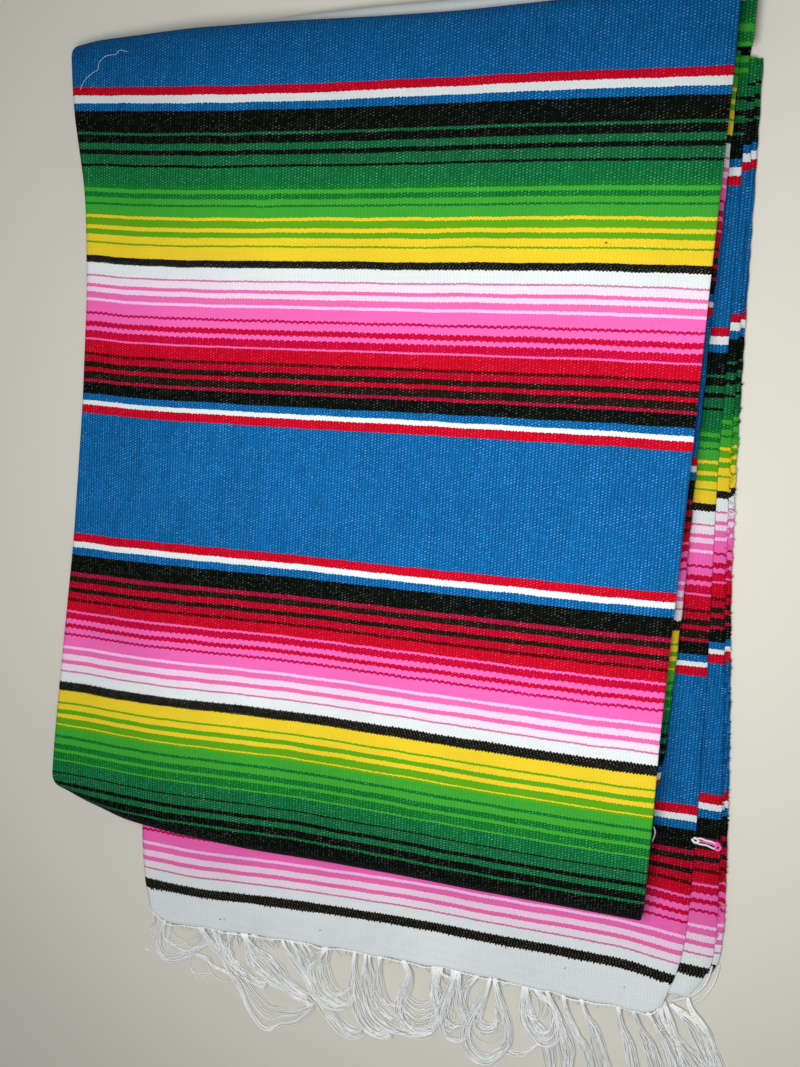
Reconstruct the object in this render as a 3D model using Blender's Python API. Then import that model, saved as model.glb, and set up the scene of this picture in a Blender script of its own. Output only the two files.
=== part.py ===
"""A folded serape: one striped, fringed blanket, folded in quarters along its
length and then in a zigzag, lying flat.

Lengths in the tables and constants are millimetres. X runs across the folded
blanket, Y from the fringed hem (front) to the back folds, Z up. The front hem
edge lies near Y = -285 and the back folds near Y = +300 while the pieces are
worked out, and stand_on_origin() then centres the whole on the origin.
"""

import bmesh
import bpy
import numpy as np

MM = 0.001

# --- driving sizes ---------------------------------------------------------
PLY = 2.0                   # cloth thickness
GAP = 0.3                   # air between neighbouring plies
PITCH = PLY + GAP
LOWER_TOP = 8.9             # upper face of the four plies at the fringed end
STACK_TOP = 36.8            # upper face of the top panel
STACK_LOW = LOWER_TOP + GAP     # underside of the plies that lie on those four
SINK_FROM, SINK_TO = -177.0, -206.0     # X between which the stack's underside
                                        # sinks past the fringed end to the surface
SAG_FROM, SAG_TO = -135.0, -226.0       # X between which its top follows
BACK_R = 9.2                # outer radius of the fold at the back edge
SIDE_R = 3.6                # outer radius of the lengthwise fold on the left
LOWER_SIDE_R = LOWER_TOP / 2    # the same fold at the fringed end
EDGE_BULGE = 0.4 * PLY      # how far a cloth edge rounds out
SOFTEN, SOFTEN_SAMPLES = 14.0, 9    # half width of the edge tables' smoothing

# Y where plies stop or start, and what the tucked and turned ones overlap.
TUCK = 22.0                 # cloth turned under behind the back edge
RETURN_END = 266.0          # the ply that returns underneath stops
LOWER_BACK = 276.0          # the fringed-end plies stop
BACK_FOLD_START = 279.0     # the back fold's plies start
HEM_Y = -285.0              # the hem, where the edge tables are read
SECOND_INSET, THIRD_INSET = 8.0, 10.0   # the hidden hems lie behind the top one
UNDER_INSET = 4.0           # the lowest ply's right edge inside the one above
END_LEFT_IN = LOWER_SIDE_R + 2.0    # the end layers' left edge inside the fold
TURNED_TOP_IN, TURNED_UNDER_IN = 5.0, 8.0   # widths of the turned panel's plies
TURNED_START = 1.5          # its front end past the front fold's middle

# Heights and ends of the folded edges under the top panel.
BACK_FOLD_Z = 18.1
BACK_FOLD_LEFT, BACK_FOLD_RIGHT = -209.0, 175.0
TURNED_LOW, TURNED_TOP = 11.5, 18.1

# Columns across the cloth: over the sinking margin, and past it.
SINK_COLUMNS = np.linspace(SINK_TO, SINK_FROM, 7)
FLAT_COLUMNS = np.array([-157.0, -135.0, -90.0, -30.0, 30.0, 95.0])
EDGE_COLUMN = 10.0          # the last column but one, in from the right edge
RETURN_IN = 1.0             # the returning ply's edge inside the turned panel's

# --- edge tables -----------------------------------------------------------
# Long edges, a row per station along Y: X of each panel's edge.
SIDE_NAMES = ("y", "top_left", "top_right", "turned_right")
SIDES = np.array([
    (310.0, -236.0, 166.0, 169.8),
    (254.0, -231.0, 165.7, 169.6),
    (196.0, -220.5, 164.6, 169.0),
    (140.0, -218.0, 163.8, 167.8),
    (66.0, -219.6, 163.0, 167.4),
    (-24.0, -224.5, 161.5, 167.2),
    (-97.0, -231.0, 160.0, 165.6),
    (-163.0, -236.5, 160.2, 163.8),
    (-230.0, -240.0, 159.6, 163.0),
])

# Edges of the fringed-end plies, a row per station along Y.
LOWER_NAMES = ("y", "lower_left", "lower_right", "second_right", "third_right")
LOWER = np.array([
    (300.0, -180.0, 173.5, 177.5, 181.0),
    (146.0, -180.0, 177.5, 182.4, 185.5),
    (52.0, -180.0, 178.5, 185.0, 188.5),
    (-31.0, -180.0, 182.0, 189.5, 193.0),
    (-87.0, -180.0, 184.5, 194.5, 198.0),
    (-147.0, -180.0, 186.0, 199.0, 202.6),
    (-208.0, -179.5, 187.0, 202.5, 206.6),
    (-244.0, -178.5, 186.4, 203.6, 208.0),
    (-256.0, -177.0, 185.0, 200.5, 205.0),
    (-266.0, -175.5, 182.6, 192.5, 194.0),
    (-277.0, -174.5, 179.6, 182.0, 182.0),
    (-290.0, -169.0, 174.5, 176.0, 176.0),
])

# Crosswise edges, a row per station along X: Y of the folds and of the hem.
CROSS_NAMES = ("x", "front_fold", "back_edge", "hidden_fold", "hem")
CROSS = np.array([
    (-240.0, -197.0, 276.0, 284.0, -288.5),
    (-225.0, -204.5, 285.0, 287.0, -288.5),
    (-200.0, -211.0, 289.5, 291.0, -288.5),
    (-170.0, -213.8, 291.0, 295.0, -288.5),
    (-135.0, -215.5, 292.5, 299.0, -288.0),
    (-90.0, -217.3, 295.6, 304.5, -285.5),
    (-40.0, -216.6, 295.8, 308.0, -283.4),
    (15.0, -216.8, 298.0, 310.5, -282.8),
    (60.0, -218.0, 301.0, 312.0, -282.4),
    (118.0, -218.4, 304.8, 313.6, -284.8),
    (160.0, -218.8, 306.6, 314.0, -285.7),
    (210.0, -218.8, 307.0, 312.0, -286.5),
])

# Locks of each fringe, a row per stretch of the hem. Along the stretch the
# locks change evenly from one row to the next: where they root (x), how far
# their tips are carried to the right, and how far they hang.
LOCK_NAMES = ("x", "carry", "hang")
HEM_LOCKS = np.array([
    (-160.0, 46.0, 62.0),
    (-110.0, 44.0, 66.0),
    (-62.0, 30.0, 62.0),
    (-20.0, 6.0, 58.0),
    (60.0, 2.0, 70.0),
    (110.0, 12.0, 76.0),
    (166.0, 24.0, 74.0),
])
END_LOCKS = np.array([
    (-150.0, 34.0, 50.0),
    (-40.0, 8.0, 58.0),
    (80.0, 4.0, 66.0),
    (168.0, 12.0, 70.0),
])

# name: colour, roughness
FINISHES = {
    "top_panel": ((0.04, 0.20, 0.42), 0.85),
    "turned_panel": ((0.55, 0.02, 0.06), 0.85),
    "lower_panel": ((0.85, 0.22, 0.45), 0.85),
    "second_end_layer": ((0.05, 0.30, 0.10), 0.85),
    "third_end_layer": ((0.70, 0.55, 0.06), 0.85),
    "back_fold": ((0.06, 0.35, 0.12), 0.85),
    "inner_layers": ((0.30, 0.30, 0.32), 0.90),
    "hem_fringe": ((0.80, 0.80, 0.77), 0.90),
    "end_fringe": ((0.72, 0.72, 0.69), 0.90),
}


# --- reading the tables ----------------------------------------------------
def read(table, names, column, at):
    """A column's value at the places `at`: straight lines between the rows,
    averaged over a short window so that the edge runs smoothly."""
    order = np.argsort(table[:, 0])
    keys = table[order, 0]
    values = table[order, names.index(column)]
    window = np.linspace(-SOFTEN, SOFTEN, SOFTEN_SAMPLES)
    places = np.asarray(at, float)[..., None] + window
    return np.interp(places, keys, values).mean(axis=-1)


def side(column, y):
    return read(SIDES, SIDE_NAMES, column, y)


def lower(column, y):
    return read(LOWER, LOWER_NAMES, column, y)


def cross(column, x):
    return read(CROSS, CROSS_NAMES, column, x)


def smooth_step(x, start, end):
    """From 0 at the start to 1 at the end, level at both."""
    t = np.clip((x - start) / (end - start), 0, 1)
    return t * t * (3 - 2 * t)


def sink(x):
    """How far the stack's underside has sunk at X, at most to the surface."""
    return STACK_LOW * smooth_step(x, SINK_FROM, SINK_TO)


def sag(x):
    """How far the stack's top has sunk at X: as far in the end, but softly."""
    return STACK_LOW * smooth_step(x, SAG_FROM, SAG_TO)


def front_radius(x):
    """Outer radius of the front fold: half the stack's height."""
    return (STACK_TOP - sag(x) - STACK_LOW + sink(x)) / 2


def settle(column, y_of_x, start):
    """X of a long edge on rows whose Y depends on X: found by repeating."""
    x = side(column, y_of_x(start))
    for _ in range(3):
        x = side(column, y_of_x(x))
    return x


# --- mesh making -----------------------------------------------------------
def finish_of(name):
    colour, roughness = FINISHES[name]
    material = bpy.data.materials.new(name)
    material.use_nodes = True
    shader = material.node_tree.nodes["Principled BSDF"]
    shader.inputs["Base Color"].default_value = (*colour, 1.0)
    shader.inputs["Roughness"].default_value = roughness
    shader.inputs["Metallic"].default_value = 0.0
    return material


def add_object(name, points, faces):
    """One named object from millimetre points and the faces of a closed solid,
    which are turned to point outwards."""
    mesh = bpy.data.meshes.new(name)
    mesh.from_pydata((np.asarray(points) * MM).tolist(), [], faces)
    shell = bmesh.new()
    shell.from_mesh(mesh)
    bmesh.ops.recalc_face_normals(shell, faces=shell.faces)
    shell.to_mesh(mesh)
    shell.free()
    mesh.materials.append(finish_of(name))
    mesh.shade_smooth()
    mesh.set_sharp_from_angle(angle=0.7)
    piece = bpy.data.objects.new(name, mesh)
    bpy.context.scene.collection.objects.link(piece)
    return piece


def grid_faces(index):
    """Quads over a two-way array of point numbers."""
    a, b = index[:-1, :-1], index[1:, :-1]
    c, d = index[1:, 1:], index[:-1, 1:]
    return np.stack([a, b, c, d], axis=-1).reshape(-1, 4).tolist()


def border(rows, columns):
    """Row and column of each border point, once round."""
    r = np.concatenate([np.zeros(columns - 1, int), np.arange(rows - 1),
                        np.full(columns - 1, rows - 1), np.arange(rows - 1, 0, -1)])
    c = np.concatenate([np.arange(columns - 1), np.full(rows - 1, columns - 1),
                        np.arange(columns - 1, 0, -1), np.zeros(rows - 1, int)])
    return r, c


def cloth(name, outer, inner):
    """A closed cloth wall between two grids of points (row, column, xyz). Its
    edge is a rim that stands out a little from the middle of the wall."""
    rows, columns, _ = outer.shape
    count = rows * columns
    r, c = border(rows, columns)
    inside_r = np.clip(r, 1, rows - 2)
    inside_c = np.clip(c, 1, columns - 2)
    middle = (outer[r, c] + inner[r, c]) / 2
    away = middle - (outer[inside_r, inside_c] + inner[inside_r, inside_c]) / 2
    away /= np.linalg.norm(away, axis=1)[:, None]
    rim = middle + away * EDGE_BULGE

    points = np.concatenate([outer.reshape(-1, 3), inner.reshape(-1, 3), rim])
    index = np.arange(count).reshape(rows, columns)
    ring = np.arange(len(r)) + 2 * count
    outer_ring = index[r, c]
    closed = [np.append(k, k[0]) for k in (outer_ring, ring, outer_ring + count)]
    faces = grid_faces(index)
    faces += grid_faces(index[:, ::-1] + count)
    faces += grid_faces(np.stack(closed[1::-1]))
    faces += grid_faces(np.stack(closed[2:0:-1]))
    return add_object(name, points, faces)


# --- the top panel ---------------------------------------------------------
def top_path():
    """Stations along the top panel's path, each a row: which stretch it is on
    (0 tuck, 1 back fold, 2 top, 3 front fold, 4 return) and how far along it."""
    stretches = ((0, np.array([0.0, 0.6])),
                 (1, np.linspace(0, 1, 9)),
                 (2, np.linspace(0, 1, 11)[1:-1]),
                 (3, np.linspace(0, 1, 11)),
                 (4, np.linspace(0, 1, 8)[1:]))
    return np.concatenate([np.stack([np.full(len(at), kind), at], axis=1)
                           for kind, at in stretches])


def on_path(path, x):
    """Y, Z and outward normal of the top panel's outer face, for a station in
    each row and an X in each column. The folds are half circles."""
    kind, at = path[:, :1], path[:, 1:]
    top = STACK_TOP - sag(x)
    front_r = front_radius(x)
    back_y = cross("back_edge", x) - BACK_R
    front_y = cross("front_fold", x) + front_r
    quarter = np.pi / 2
    turn = np.select([kind == 1, kind == 3], [at * np.pi - quarter, at * np.pi + quarter],
                     np.where(kind == 2, quarter, -quarter))
    radius = np.select([kind == 1, kind == 3], [BACK_R + 0 * x, front_r], 0.0)
    y = np.select([kind == 0, kind == 1, kind == 2, kind == 3],
                  [back_y - TUCK * (1 - at), back_y, back_y + (front_y - back_y) * at, front_y],
                  front_y + (RETURN_END - front_y) * at)
    z = np.select([kind == 0, kind == 1, kind == 2, kind == 3],
                  [top - 2 * BACK_R, top - BACK_R, top, top - front_r], top - 2 * front_r)
    normal_y, normal_z = np.cos(turn) + 0 * x, np.sin(turn) + 0 * x
    return y + radius * normal_y, z + radius * normal_z, normal_y, normal_z


def top_face(path, depth):
    """The face of the top panel that lies `depth` inside its outer face. Across
    the panel the columns go half round the side fold, down the sinking margin
    and over the flat to the right edge."""
    def y_of_x(x):
        return on_path(path, x)[0]

    start = np.zeros((len(path), 1))
    left = settle("top_left", y_of_x, start) + SIDE_R
    under = np.select([path[:, :1] == 3, path[:, :1] == 4], [path[:, 1:], 1.0], 0.0)
    right = settle("top_right", y_of_x, start)
    right = right + under * (settle("turned_right", y_of_x, start) - RETURN_IN - right)

    turns = np.radians([180, 144, 108, 72, 36, 0])
    still = np.zeros_like(left)
    inner_r = SIDE_R - depth
    x = np.concatenate([left - inner_r * np.sin(turns), SINK_COLUMNS + still,
                        FLAT_COLUMNS + still, right - EDGE_COLUMN, right], axis=1)
    depths = np.full(x.shape[1], float(depth))
    depths[:len(turns)] += inner_r * (1 - np.cos(turns))
    y, z, normal_y, normal_z = on_path(path, x)
    return np.stack([x, y - normal_y * depths, z - normal_z * depths], axis=-1)


def top_panel():
    path = top_path()
    cloth("top_panel", top_face(path, 0), top_face(path, PLY))


# --- the strip of the turned panel -----------------------------------------
def turned_face(y, depth):
    """The turned panel's right margin, folded round like a U on its side."""
    right = side("turned_right", y)[:, None]
    radius = (TURNED_TOP - TURNED_LOW) / 2
    turns = np.radians(np.linspace(90, -90, 7))
    r = radius - depth
    still = np.zeros_like(right)
    top_in = side("top_right", y)[:, None] - TURNED_TOP_IN
    x = np.concatenate([top_in, right - radius + r * np.cos(turns), right - TURNED_UNDER_IN], axis=1)
    middle_z = (TURNED_TOP + TURNED_LOW) / 2
    z = np.concatenate([middle_z + r + still, middle_z + r * np.sin(turns) + still,
                        middle_z - r + still], axis=1)
    return np.stack([x, y[:, None] + 0 * x, z], axis=-1)


def turned_panel():
    at_right = side("top_right", 0.0)
    start = cross("front_fold", at_right) + front_radius(at_right) + TURNED_START
    y = np.linspace(start, LOWER_BACK, 12)
    cloth("turned_panel", turned_face(y, 0), turned_face(y, PLY))


# --- the plies of the fringed end ------------------------------------------
# Stations from the hem to the back, close together at the hem corners.
END_STATIONS = np.array([0, 0.006, 0.014, 0.026, 0.042, 0.065, 0.10, 0.15, 0.22, 0.32,
                         0.45, 0.6, 0.8, 1.0])[:, None]
END_Y = HEM_Y + (LOWER_BACK - HEM_Y) * END_STATIONS


def across_and_up(x, z, hem_inset):
    """Points at the end stations, from their X and Z."""
    hem = cross("hem", x) + hem_inset
    y = hem + (LOWER_BACK - hem) * END_STATIONS
    return np.stack([x, y, z + 0 * x], axis=-1)


def lower_face(depth):
    """The lower panel: its top ply, half round the fold on its left, and the
    ply under all the others, which rests on the surface."""
    left = lower("lower_left", END_Y) + LOWER_SIDE_R
    right = lower("lower_right", END_Y)
    share = np.linspace(1, 0, 10)[:-1]
    turns = np.radians(np.linspace(90, 270, 9))
    r = LOWER_SIDE_R - depth
    x = np.concatenate([left + (right - left) * share, left + r * np.cos(turns),
                        left + (right - UNDER_INSET - left) * share[::-1]], axis=1)
    z = np.concatenate([np.full(len(share), r), r * np.sin(turns), np.full(len(share), -r)])
    return across_and_up(x, LOWER_SIDE_R + z, 0)


def end_layer_face(edge, z, hem_inset):
    """A flat ply between the lower panel's two plies."""
    left = lower("lower_left", END_Y) + END_LEFT_IN
    right = lower(edge, END_Y)
    x = left + (right - left) * np.linspace(0, 1, 11)
    return across_and_up(x, z, hem_inset)


def fringed_end():
    cloth("lower_panel", lower_face(0), lower_face(PLY))
    for name, edge, low, hem_inset in (
            ("second_end_layer", "second_right", 2 * PITCH, SECOND_INSET),
            ("third_end_layer", "third_right", PITCH, THIRD_INSET)):
        cloth(name, end_layer_face(edge, low + PLY, hem_inset),
              end_layer_face(edge, low, hem_inset))


# --- the fold behind the top panel -----------------------------------------
def back_fold_face(depth):
    """Half round a fold whose height shrinks where the stack has sunk, with a
    flat ply at its top and one at its bottom that rests on the surface."""
    x = np.concatenate([[BACK_FOLD_LEFT], SINK_COLUMNS, FLAT_COLUMNS,
                        [BACK_FOLD_RIGHT - 25, BACK_FOLD_RIGHT]])
    height = BACK_FOLD_Z - sag(x)
    radius = height / 2
    centre = cross("hidden_fold", x) - radius
    turns = np.radians(np.linspace(90, -90, 10))[:, None]
    r = radius - depth
    start = np.full_like(x, BACK_FOLD_START)
    y = np.concatenate([[start], centre + r * np.cos(turns), [start]])
    z = np.concatenate([[radius + r], radius + r * np.sin(turns), [radius - r]])
    return np.stack([np.broadcast_to(x, y.shape), y, z], axis=-1)


def back_fold():
    cloth("back_fold", back_fold_face(0), back_fold_face(PLY))


# --- the hidden plies ------------------------------------------------------
BED = TURNED_LOW                            # Z of the hidden plies' underside
LID = STACK_TOP - PITCH                     # Z of their upper side
SLOT_LOW = BACK_FOLD_Z - PITCH              # the slot at the back that takes
SLOT_HIGH = STACK_TOP - 2 * BACK_R + PITCH  # the two folds' tucked plies
SLOT_AIR = 2.5              # air between the slot's wall and the tucked ply
FOLD_AIR = 0.25             # extra air round the inside of a fold
STEP_Y, STEP_LONG = 277.6, 1.0      # the step down behind the fringed-end plies
STEP_ROOM = 6.0             # the least that a level reaches past the step
HIDDEN_PLIES = 7            # plies that show as rounded edges on the right
STRIP_LEVELS, STRIP_RISE = 7, 1.1   # levels beside the turned panel, their spacing
STRIP_TOP = TURNED_TOP + 0.8        # Z where the rounded edges start
SIDE_IN = SIDE_R + 2.0      # how far the sides lie inside the side fold
STRIP_IN = 8.5              # and inside the right edge, beside the turned panel
GROOVE_IN, SHOULDER_IN = 2.4, 1.0   # grooves and shoulders of the plies' edges
PLY_EDGE = ((0.0, GROOVE_IN), (0.25, SHOULDER_IN), (0.75, SHOULDER_IN))  # share, inset
BULGE_IN, BULGE_SHARE = 1.0, 0.27   # the fold that bulges on the left: its inset
                                    # and half its share of the height
BULGE_START, BULGE_END, BULGE_FADE = -200.0, 240.0, 25.0    # where along Y it is
LEVEL_FROM, LEVEL_LONG = 150.0, 90.0    # Y where the levels shift to their heights
                                        # at the back, and over what length
END_IN = 1.2                # how far the left end lies inside the back fold
LOW, SLOT, UPPER = 0, 1, 2  # what a level belongs to: back fold, slot, top fold
STATIONS = (0, 0.03, 0.08, 0.18, 0.34, 0.5, 0.66, 0.82, 0.93, 1.0)   # to the step
BEHIND = (0, 0.5, 1.0)      # and behind it


def level_table():
    """A row per level from the underside up: its Z over most of the length, its
    Z behind the step, what it belongs to and its inset on the right. Each ply
    above the turned panel has a groove and the two shoulders of its edge."""
    rows = []
    for k in range(STRIP_LEVELS):
        rise = (1 - np.cos(np.pi * k / (STRIP_LEVELS - 1))) / 2
        rows.append((BED + STRIP_RISE * k, PITCH + (SLOT_LOW - PITCH) * rise, LOW, STRIP_IN))
    for below, z_back in ((0.4, SLOT_LOW + 0.1), (0.2, SLOT_HIGH - 0.1)):
        rows.append((STRIP_TOP - below, z_back, SLOT, STRIP_IN))
    for k in range(HIDDEN_PLIES):
        for share, right_in in PLY_EDGE:
            part = (k + share) / HIDDEN_PLIES
            rows.append((STRIP_TOP + (LID - STRIP_TOP) * part,
                         SLOT_HIGH + (LID - SLOT_HIGH) * part, UPPER, right_in))
    rows.append((LID, LID, UPPER, GROOVE_IN))
    return np.array(rows)


def circle_reach(radius, off):
    """How far a circle reaches sideways at a height `off` its centre."""
    return np.sqrt(np.clip(radius ** 2 - off ** 2, 0, None))


def share_up(z):
    """A level's share of the way from the underside to the upper side."""
    return (z - BED) / (LID - BED)


def hidden_front(x, z):
    """Y where a level meets the inside of the front fold."""
    radius = front_radius(x)
    off = (share_up(z) * 2 - 1) * (radius - PITCH)
    return cross("front_fold", x) + radius - circle_reach(radius - PITCH - FOLD_AIR, off)


def hidden_back(x, z_back, belongs):
    """Y where a level ends at the back: inside the back fold, at the slot's
    wall, or inside the top panel's fold."""
    radius = (BACK_FOLD_Z - sag(x)) / 2
    squeeze = (2 * radius - 2 * PITCH) / (BACK_FOLD_Z - 2 * PITCH)
    off_low = (z_back - BACK_FOLD_Z / 2) * squeeze
    low = cross("hidden_fold", x) - radius
    low = low + circle_reach(radius - PITCH - FOLD_AIR * squeeze, off_low)
    off_top = z_back - (STACK_TOP - BACK_R)
    top = cross("back_edge", x) - BACK_R + circle_reach(BACK_R - PITCH - FOLD_AIR, off_top)
    slot = cross("back_edge", x) - BACK_R - TUCK - SLOT_AIR
    return np.select([belongs == LOW, belongs == SLOT], [low, slot], top)


def hidden_lattice():
    """The hidden plies as a block of points: column across, station along and
    level up. Only its skin is used."""
    z, z_back, belongs, right_in = (level_table()[:, k] for k in range(4))
    share = np.array(STATIONS + BEHIND)[None, :, None]
    behind = (np.arange(share.size) >= len(STATIONS))[None, :, None]

    def along(x):
        front, back = hidden_front(x, z), hidden_back(x, z_back, belongs)
        step = np.minimum(STEP_Y, back - STEP_ROOM)
        past = step + STEP_LONG
        return np.where(behind, past + (back - past) * share, front + (step - front) * share)

    start = np.zeros((1, 1, 1))
    middle_y = along(start)
    # The left side: a rounded bulge between the two side folds, gone at the ends.
    off = np.clip((share_up(z) - 0.5) / BULGE_SHARE, -1, 1)
    bulge = (SIDE_IN - BULGE_IN) * circle_reach(1.0, off)
    fade = (np.clip((middle_y - BULGE_START) / BULGE_FADE, 0, 1)
            * np.clip((BULGE_END - middle_y) / BULGE_FADE, 0, 1))
    left = settle("top_left", along, start) + SIDE_IN - bulge * fade
    right = settle("top_right", along, start) - right_in
    in_back_fold = behind & (belongs == LOW)
    left = np.where(in_back_fold, BACK_FOLD_LEFT + END_IN, left)

    still = np.zeros_like(left)
    x = np.concatenate([left] + [c + still for c in SINK_COLUMNS]
                       + [c + still for c in FLAT_COLUMNS] + [right], axis=0)
    y = along(x)
    squeezed = PITCH + (z_back - PITCH) * (1 - sag(x) / (SLOT_LOW - PITCH))
    height_back = np.where(belongs == LOW, squeezed, z_back - sag(x))
    height_most = z - sink(x) + (sink(x) - sag(x)) * share_up(z)
    soft = np.clip((middle_y - LEVEL_FROM) / LEVEL_LONG, 0, 1)
    weight = np.where(z_back > SLOT_HIGH - 1, soft, behind)
    height = height_most * (1 - weight) + height_back * weight
    return np.stack([x, y, height], axis=-1)


def inner_layers():
    """The skin of the lattice as one closed solid."""
    lattice = hidden_lattice()
    skin = np.ones(lattice.shape[:3], bool)
    skin[1:-1, 1:-1, 1:-1] = False
    index = np.full(skin.shape, -1)
    index[skin] = np.arange(skin.sum())
    sides = (index[:, :, -1], index[::-1, :, 0],        # upper, under
             index[:, 0, :], index[::-1, -1, :],        # front, back
             index[0, ::-1, :], index[-1, :, :])        # left, right
    faces = [face for one in sides for face in grid_faces(one)]
    add_object("inner_layers", lattice[skin], faces)


# --- the fringes -----------------------------------------------------------
LOCK_WIDE, LOCK_DEEP = 3.0, 1.6     # a lock's section
STRIP_DEEP, STRIP_END = 2.2, 2.0    # the strip's depth, and its run past the locks
STRIP_OFF = EDGE_BULGE + 2 * GAP    # from the hem's stations to the strip
HEM_COUNT, HEM_REST = 42, 3.3       # locks, and Z of the middle of their tips
END_COUNT, END_REST = 22, 1.4
ALONG_LOCK = np.array([0.0, 0.1, 0.28, 0.5, 0.75, 1.0])     # stations of a lock
TAPER = np.array([1.0, 1.0, 1.0, 0.95, 0.85, 0.6])          # its width at each
CARRY_POWER, DROP_POWER = 1.4, 3.0  # how a lock eases sideways and down
WANDER, HANG_VARY = 1.3, 0.06       # its own wander, and change of its length
CORNERS = np.array([(-1, -1), (1, -1), (1, 1), (-1, 1)]) / 2    # of its section


def lock_path(x, carry, hang, root_y, root_z, rest_z, number):
    """Middle points of one lock: out of the strip, down in an easing curve and
    along the surface, with a slight wander of its own."""
    t = ALONG_LOCK
    wander = WANDER * np.sin(2.4 * number) * np.sin(np.pi * t)
    own_hang = hang * (1 + HANG_VARY * np.sin(1.7 * number))
    return np.stack([x + carry * t ** CARRY_POWER + wander, root_y - own_hang * t,
                     rest_z + (root_z - rest_z) * (1 - t) ** DROP_POWER], axis=1)


def lock_rings(path):
    """Four corners round each station of a lock: its section, turned to the
    lock's heading and tapered."""
    heading = np.gradient(path[:, :2], axis=0)
    heading /= np.linalg.norm(heading, axis=1)[:, None]
    across = np.stack([-heading[:, 1], heading[:, 0], 0 * heading[:, 0]], axis=1)
    up = np.array([0, 0, 1.0])
    offsets = (across[:, None] * CORNERS[:, :1] * LOCK_WIDE
               + up * CORNERS[:, 1:] * LOCK_DEEP)
    return path[:, None] + offsets * TAPER[:, None, None]


def fringe(name, table, count, hem_inset, root_z, rest_z):
    """A narrow backing strip along a hem and the locks that grow out of its
    front. Each lock is a four-sided tube whose first ring is part of the strip."""
    roots = np.linspace(table[0, 0], table[-1, 0], count)
    carry = read(table, LOCK_NAMES, "carry", roots)
    hang = read(table, LOCK_NAMES, "hang", roots)
    cuts = np.stack([roots - LOCK_WIDE / 2, roots + LOCK_WIDE / 2], axis=1).ravel()
    cuts = np.concatenate([[cuts[0] - STRIP_END], cuts, [cuts[-1] + STRIP_END]])
    strip_y = cross("hem", cuts) + hem_inset - STRIP_OFF
    half = LOCK_DEEP / 2
    # Round the strip: back low, back high, front high, front low.
    section_y = np.array([0, 0, -STRIP_DEEP, -STRIP_DEEP])
    section_z = np.array([-half, half, half, -half])
    strip = np.stack(np.broadcast_arrays(cuts[:, None], strip_y[:, None] + section_y,
                                         root_z + section_z), axis=-1)
    index = np.arange(strip.shape[0] * 4).reshape(-1, 4)
    gaps = index[0::2], index[1::2]     # each gap between locks, from left to right
    points = [strip.reshape(-1, 3)]
    faces = grid_faces(index[:, :3]) + grid_faces(index[:, [3, 0]])    # back, upper, under
    faces += np.stack([gaps[0][:, 2], gaps[1][:, 2], gaps[1][:, 3], gaps[0][:, 3]],
                      axis=-1).tolist()                     # front, between the locks
    faces += [index[0, ::-1].tolist(), index[-1].tolist()]  # ends
    used = index.size
    for number in range(count):
        left, right = index[1 + 2 * number], index[2 + 2 * number]
        root_y = strip_y[1 + 2 * number: 3 + 2 * number].mean() - STRIP_DEEP
        path = lock_path(roots[number], carry[number], hang[number], root_y,
                         root_z, rest_z, number)
        tube = lock_rings(path)[1:]
        own = used + np.arange(len(tube) * 4).reshape(-1, 4)
        used += own.size
        rings = np.concatenate([[[left[3], right[3], right[2], left[2]]], own])
        points.append(tube.reshape(-1, 3))
        faces += grid_faces(np.concatenate([rings, rings[:, :1]], axis=1))
        faces.append(own[-1].tolist())
    add_object(name, np.concatenate(points), faces)


def fringes():
    fringe("hem_fringe", HEM_LOCKS, HEM_COUNT, 0.0, LOWER_TOP - PLY / 2, HEM_REST)
    fringe("end_fringe", END_LOCKS, END_COUNT, SECOND_INSET, 2 * PITCH + PLY / 2, END_REST)


# --- the whole -------------------------------------------------------------
def clear_scene():
    for thing in list(bpy.data.objects):
        bpy.data.objects.remove(thing, do_unlink=True)


def stand_on_origin():
    """Move every mesh so that the origin is under the middle of the whole."""
    pieces = list(bpy.context.scene.objects)
    corners = np.array([tuple(v.co) for piece in pieces for v in piece.data.vertices])
    low, high = corners.min(axis=0), corners.max(axis=0)
    shift = np.array([-(low[0] + high[0]) / 2, -(low[1] + high[1]) / 2, -low[2]])
    for piece in pieces:
        for vertex in piece.data.vertices:
            vertex.co = vertex.co + type(vertex.co)(shift)


def main():
    clear_scene()
    top_panel()
    turned_panel()
    fringed_end()
    back_fold()
    inner_layers()
    fringes()
    stand_on_origin()


main()
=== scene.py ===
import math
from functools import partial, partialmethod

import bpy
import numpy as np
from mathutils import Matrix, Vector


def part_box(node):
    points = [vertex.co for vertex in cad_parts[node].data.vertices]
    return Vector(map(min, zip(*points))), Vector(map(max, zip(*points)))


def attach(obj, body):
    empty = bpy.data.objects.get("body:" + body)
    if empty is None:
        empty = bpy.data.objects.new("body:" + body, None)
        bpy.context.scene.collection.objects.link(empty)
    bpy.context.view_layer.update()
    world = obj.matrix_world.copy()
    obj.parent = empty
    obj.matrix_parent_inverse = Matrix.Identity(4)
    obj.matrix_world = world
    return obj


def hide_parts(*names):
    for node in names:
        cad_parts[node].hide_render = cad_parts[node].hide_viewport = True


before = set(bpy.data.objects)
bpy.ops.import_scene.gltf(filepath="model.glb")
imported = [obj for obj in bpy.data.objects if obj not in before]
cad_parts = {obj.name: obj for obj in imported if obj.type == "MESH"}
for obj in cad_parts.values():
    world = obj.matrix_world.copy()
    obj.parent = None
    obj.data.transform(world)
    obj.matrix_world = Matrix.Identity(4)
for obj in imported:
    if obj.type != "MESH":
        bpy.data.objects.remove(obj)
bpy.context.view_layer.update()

# Looks of a folded serape: one striped blanket with a yarn fringe, folded in
# quarters along its length and then in a zigzag. Its plies are thin closed
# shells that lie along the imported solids.
#
# Lengths in the tables are millimetres in the cloth's own frame: X across the
# folded blanket, Y from the fringed hem to the back folds, Z up. put() moves
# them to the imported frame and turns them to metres.

MM = 0.001

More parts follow.
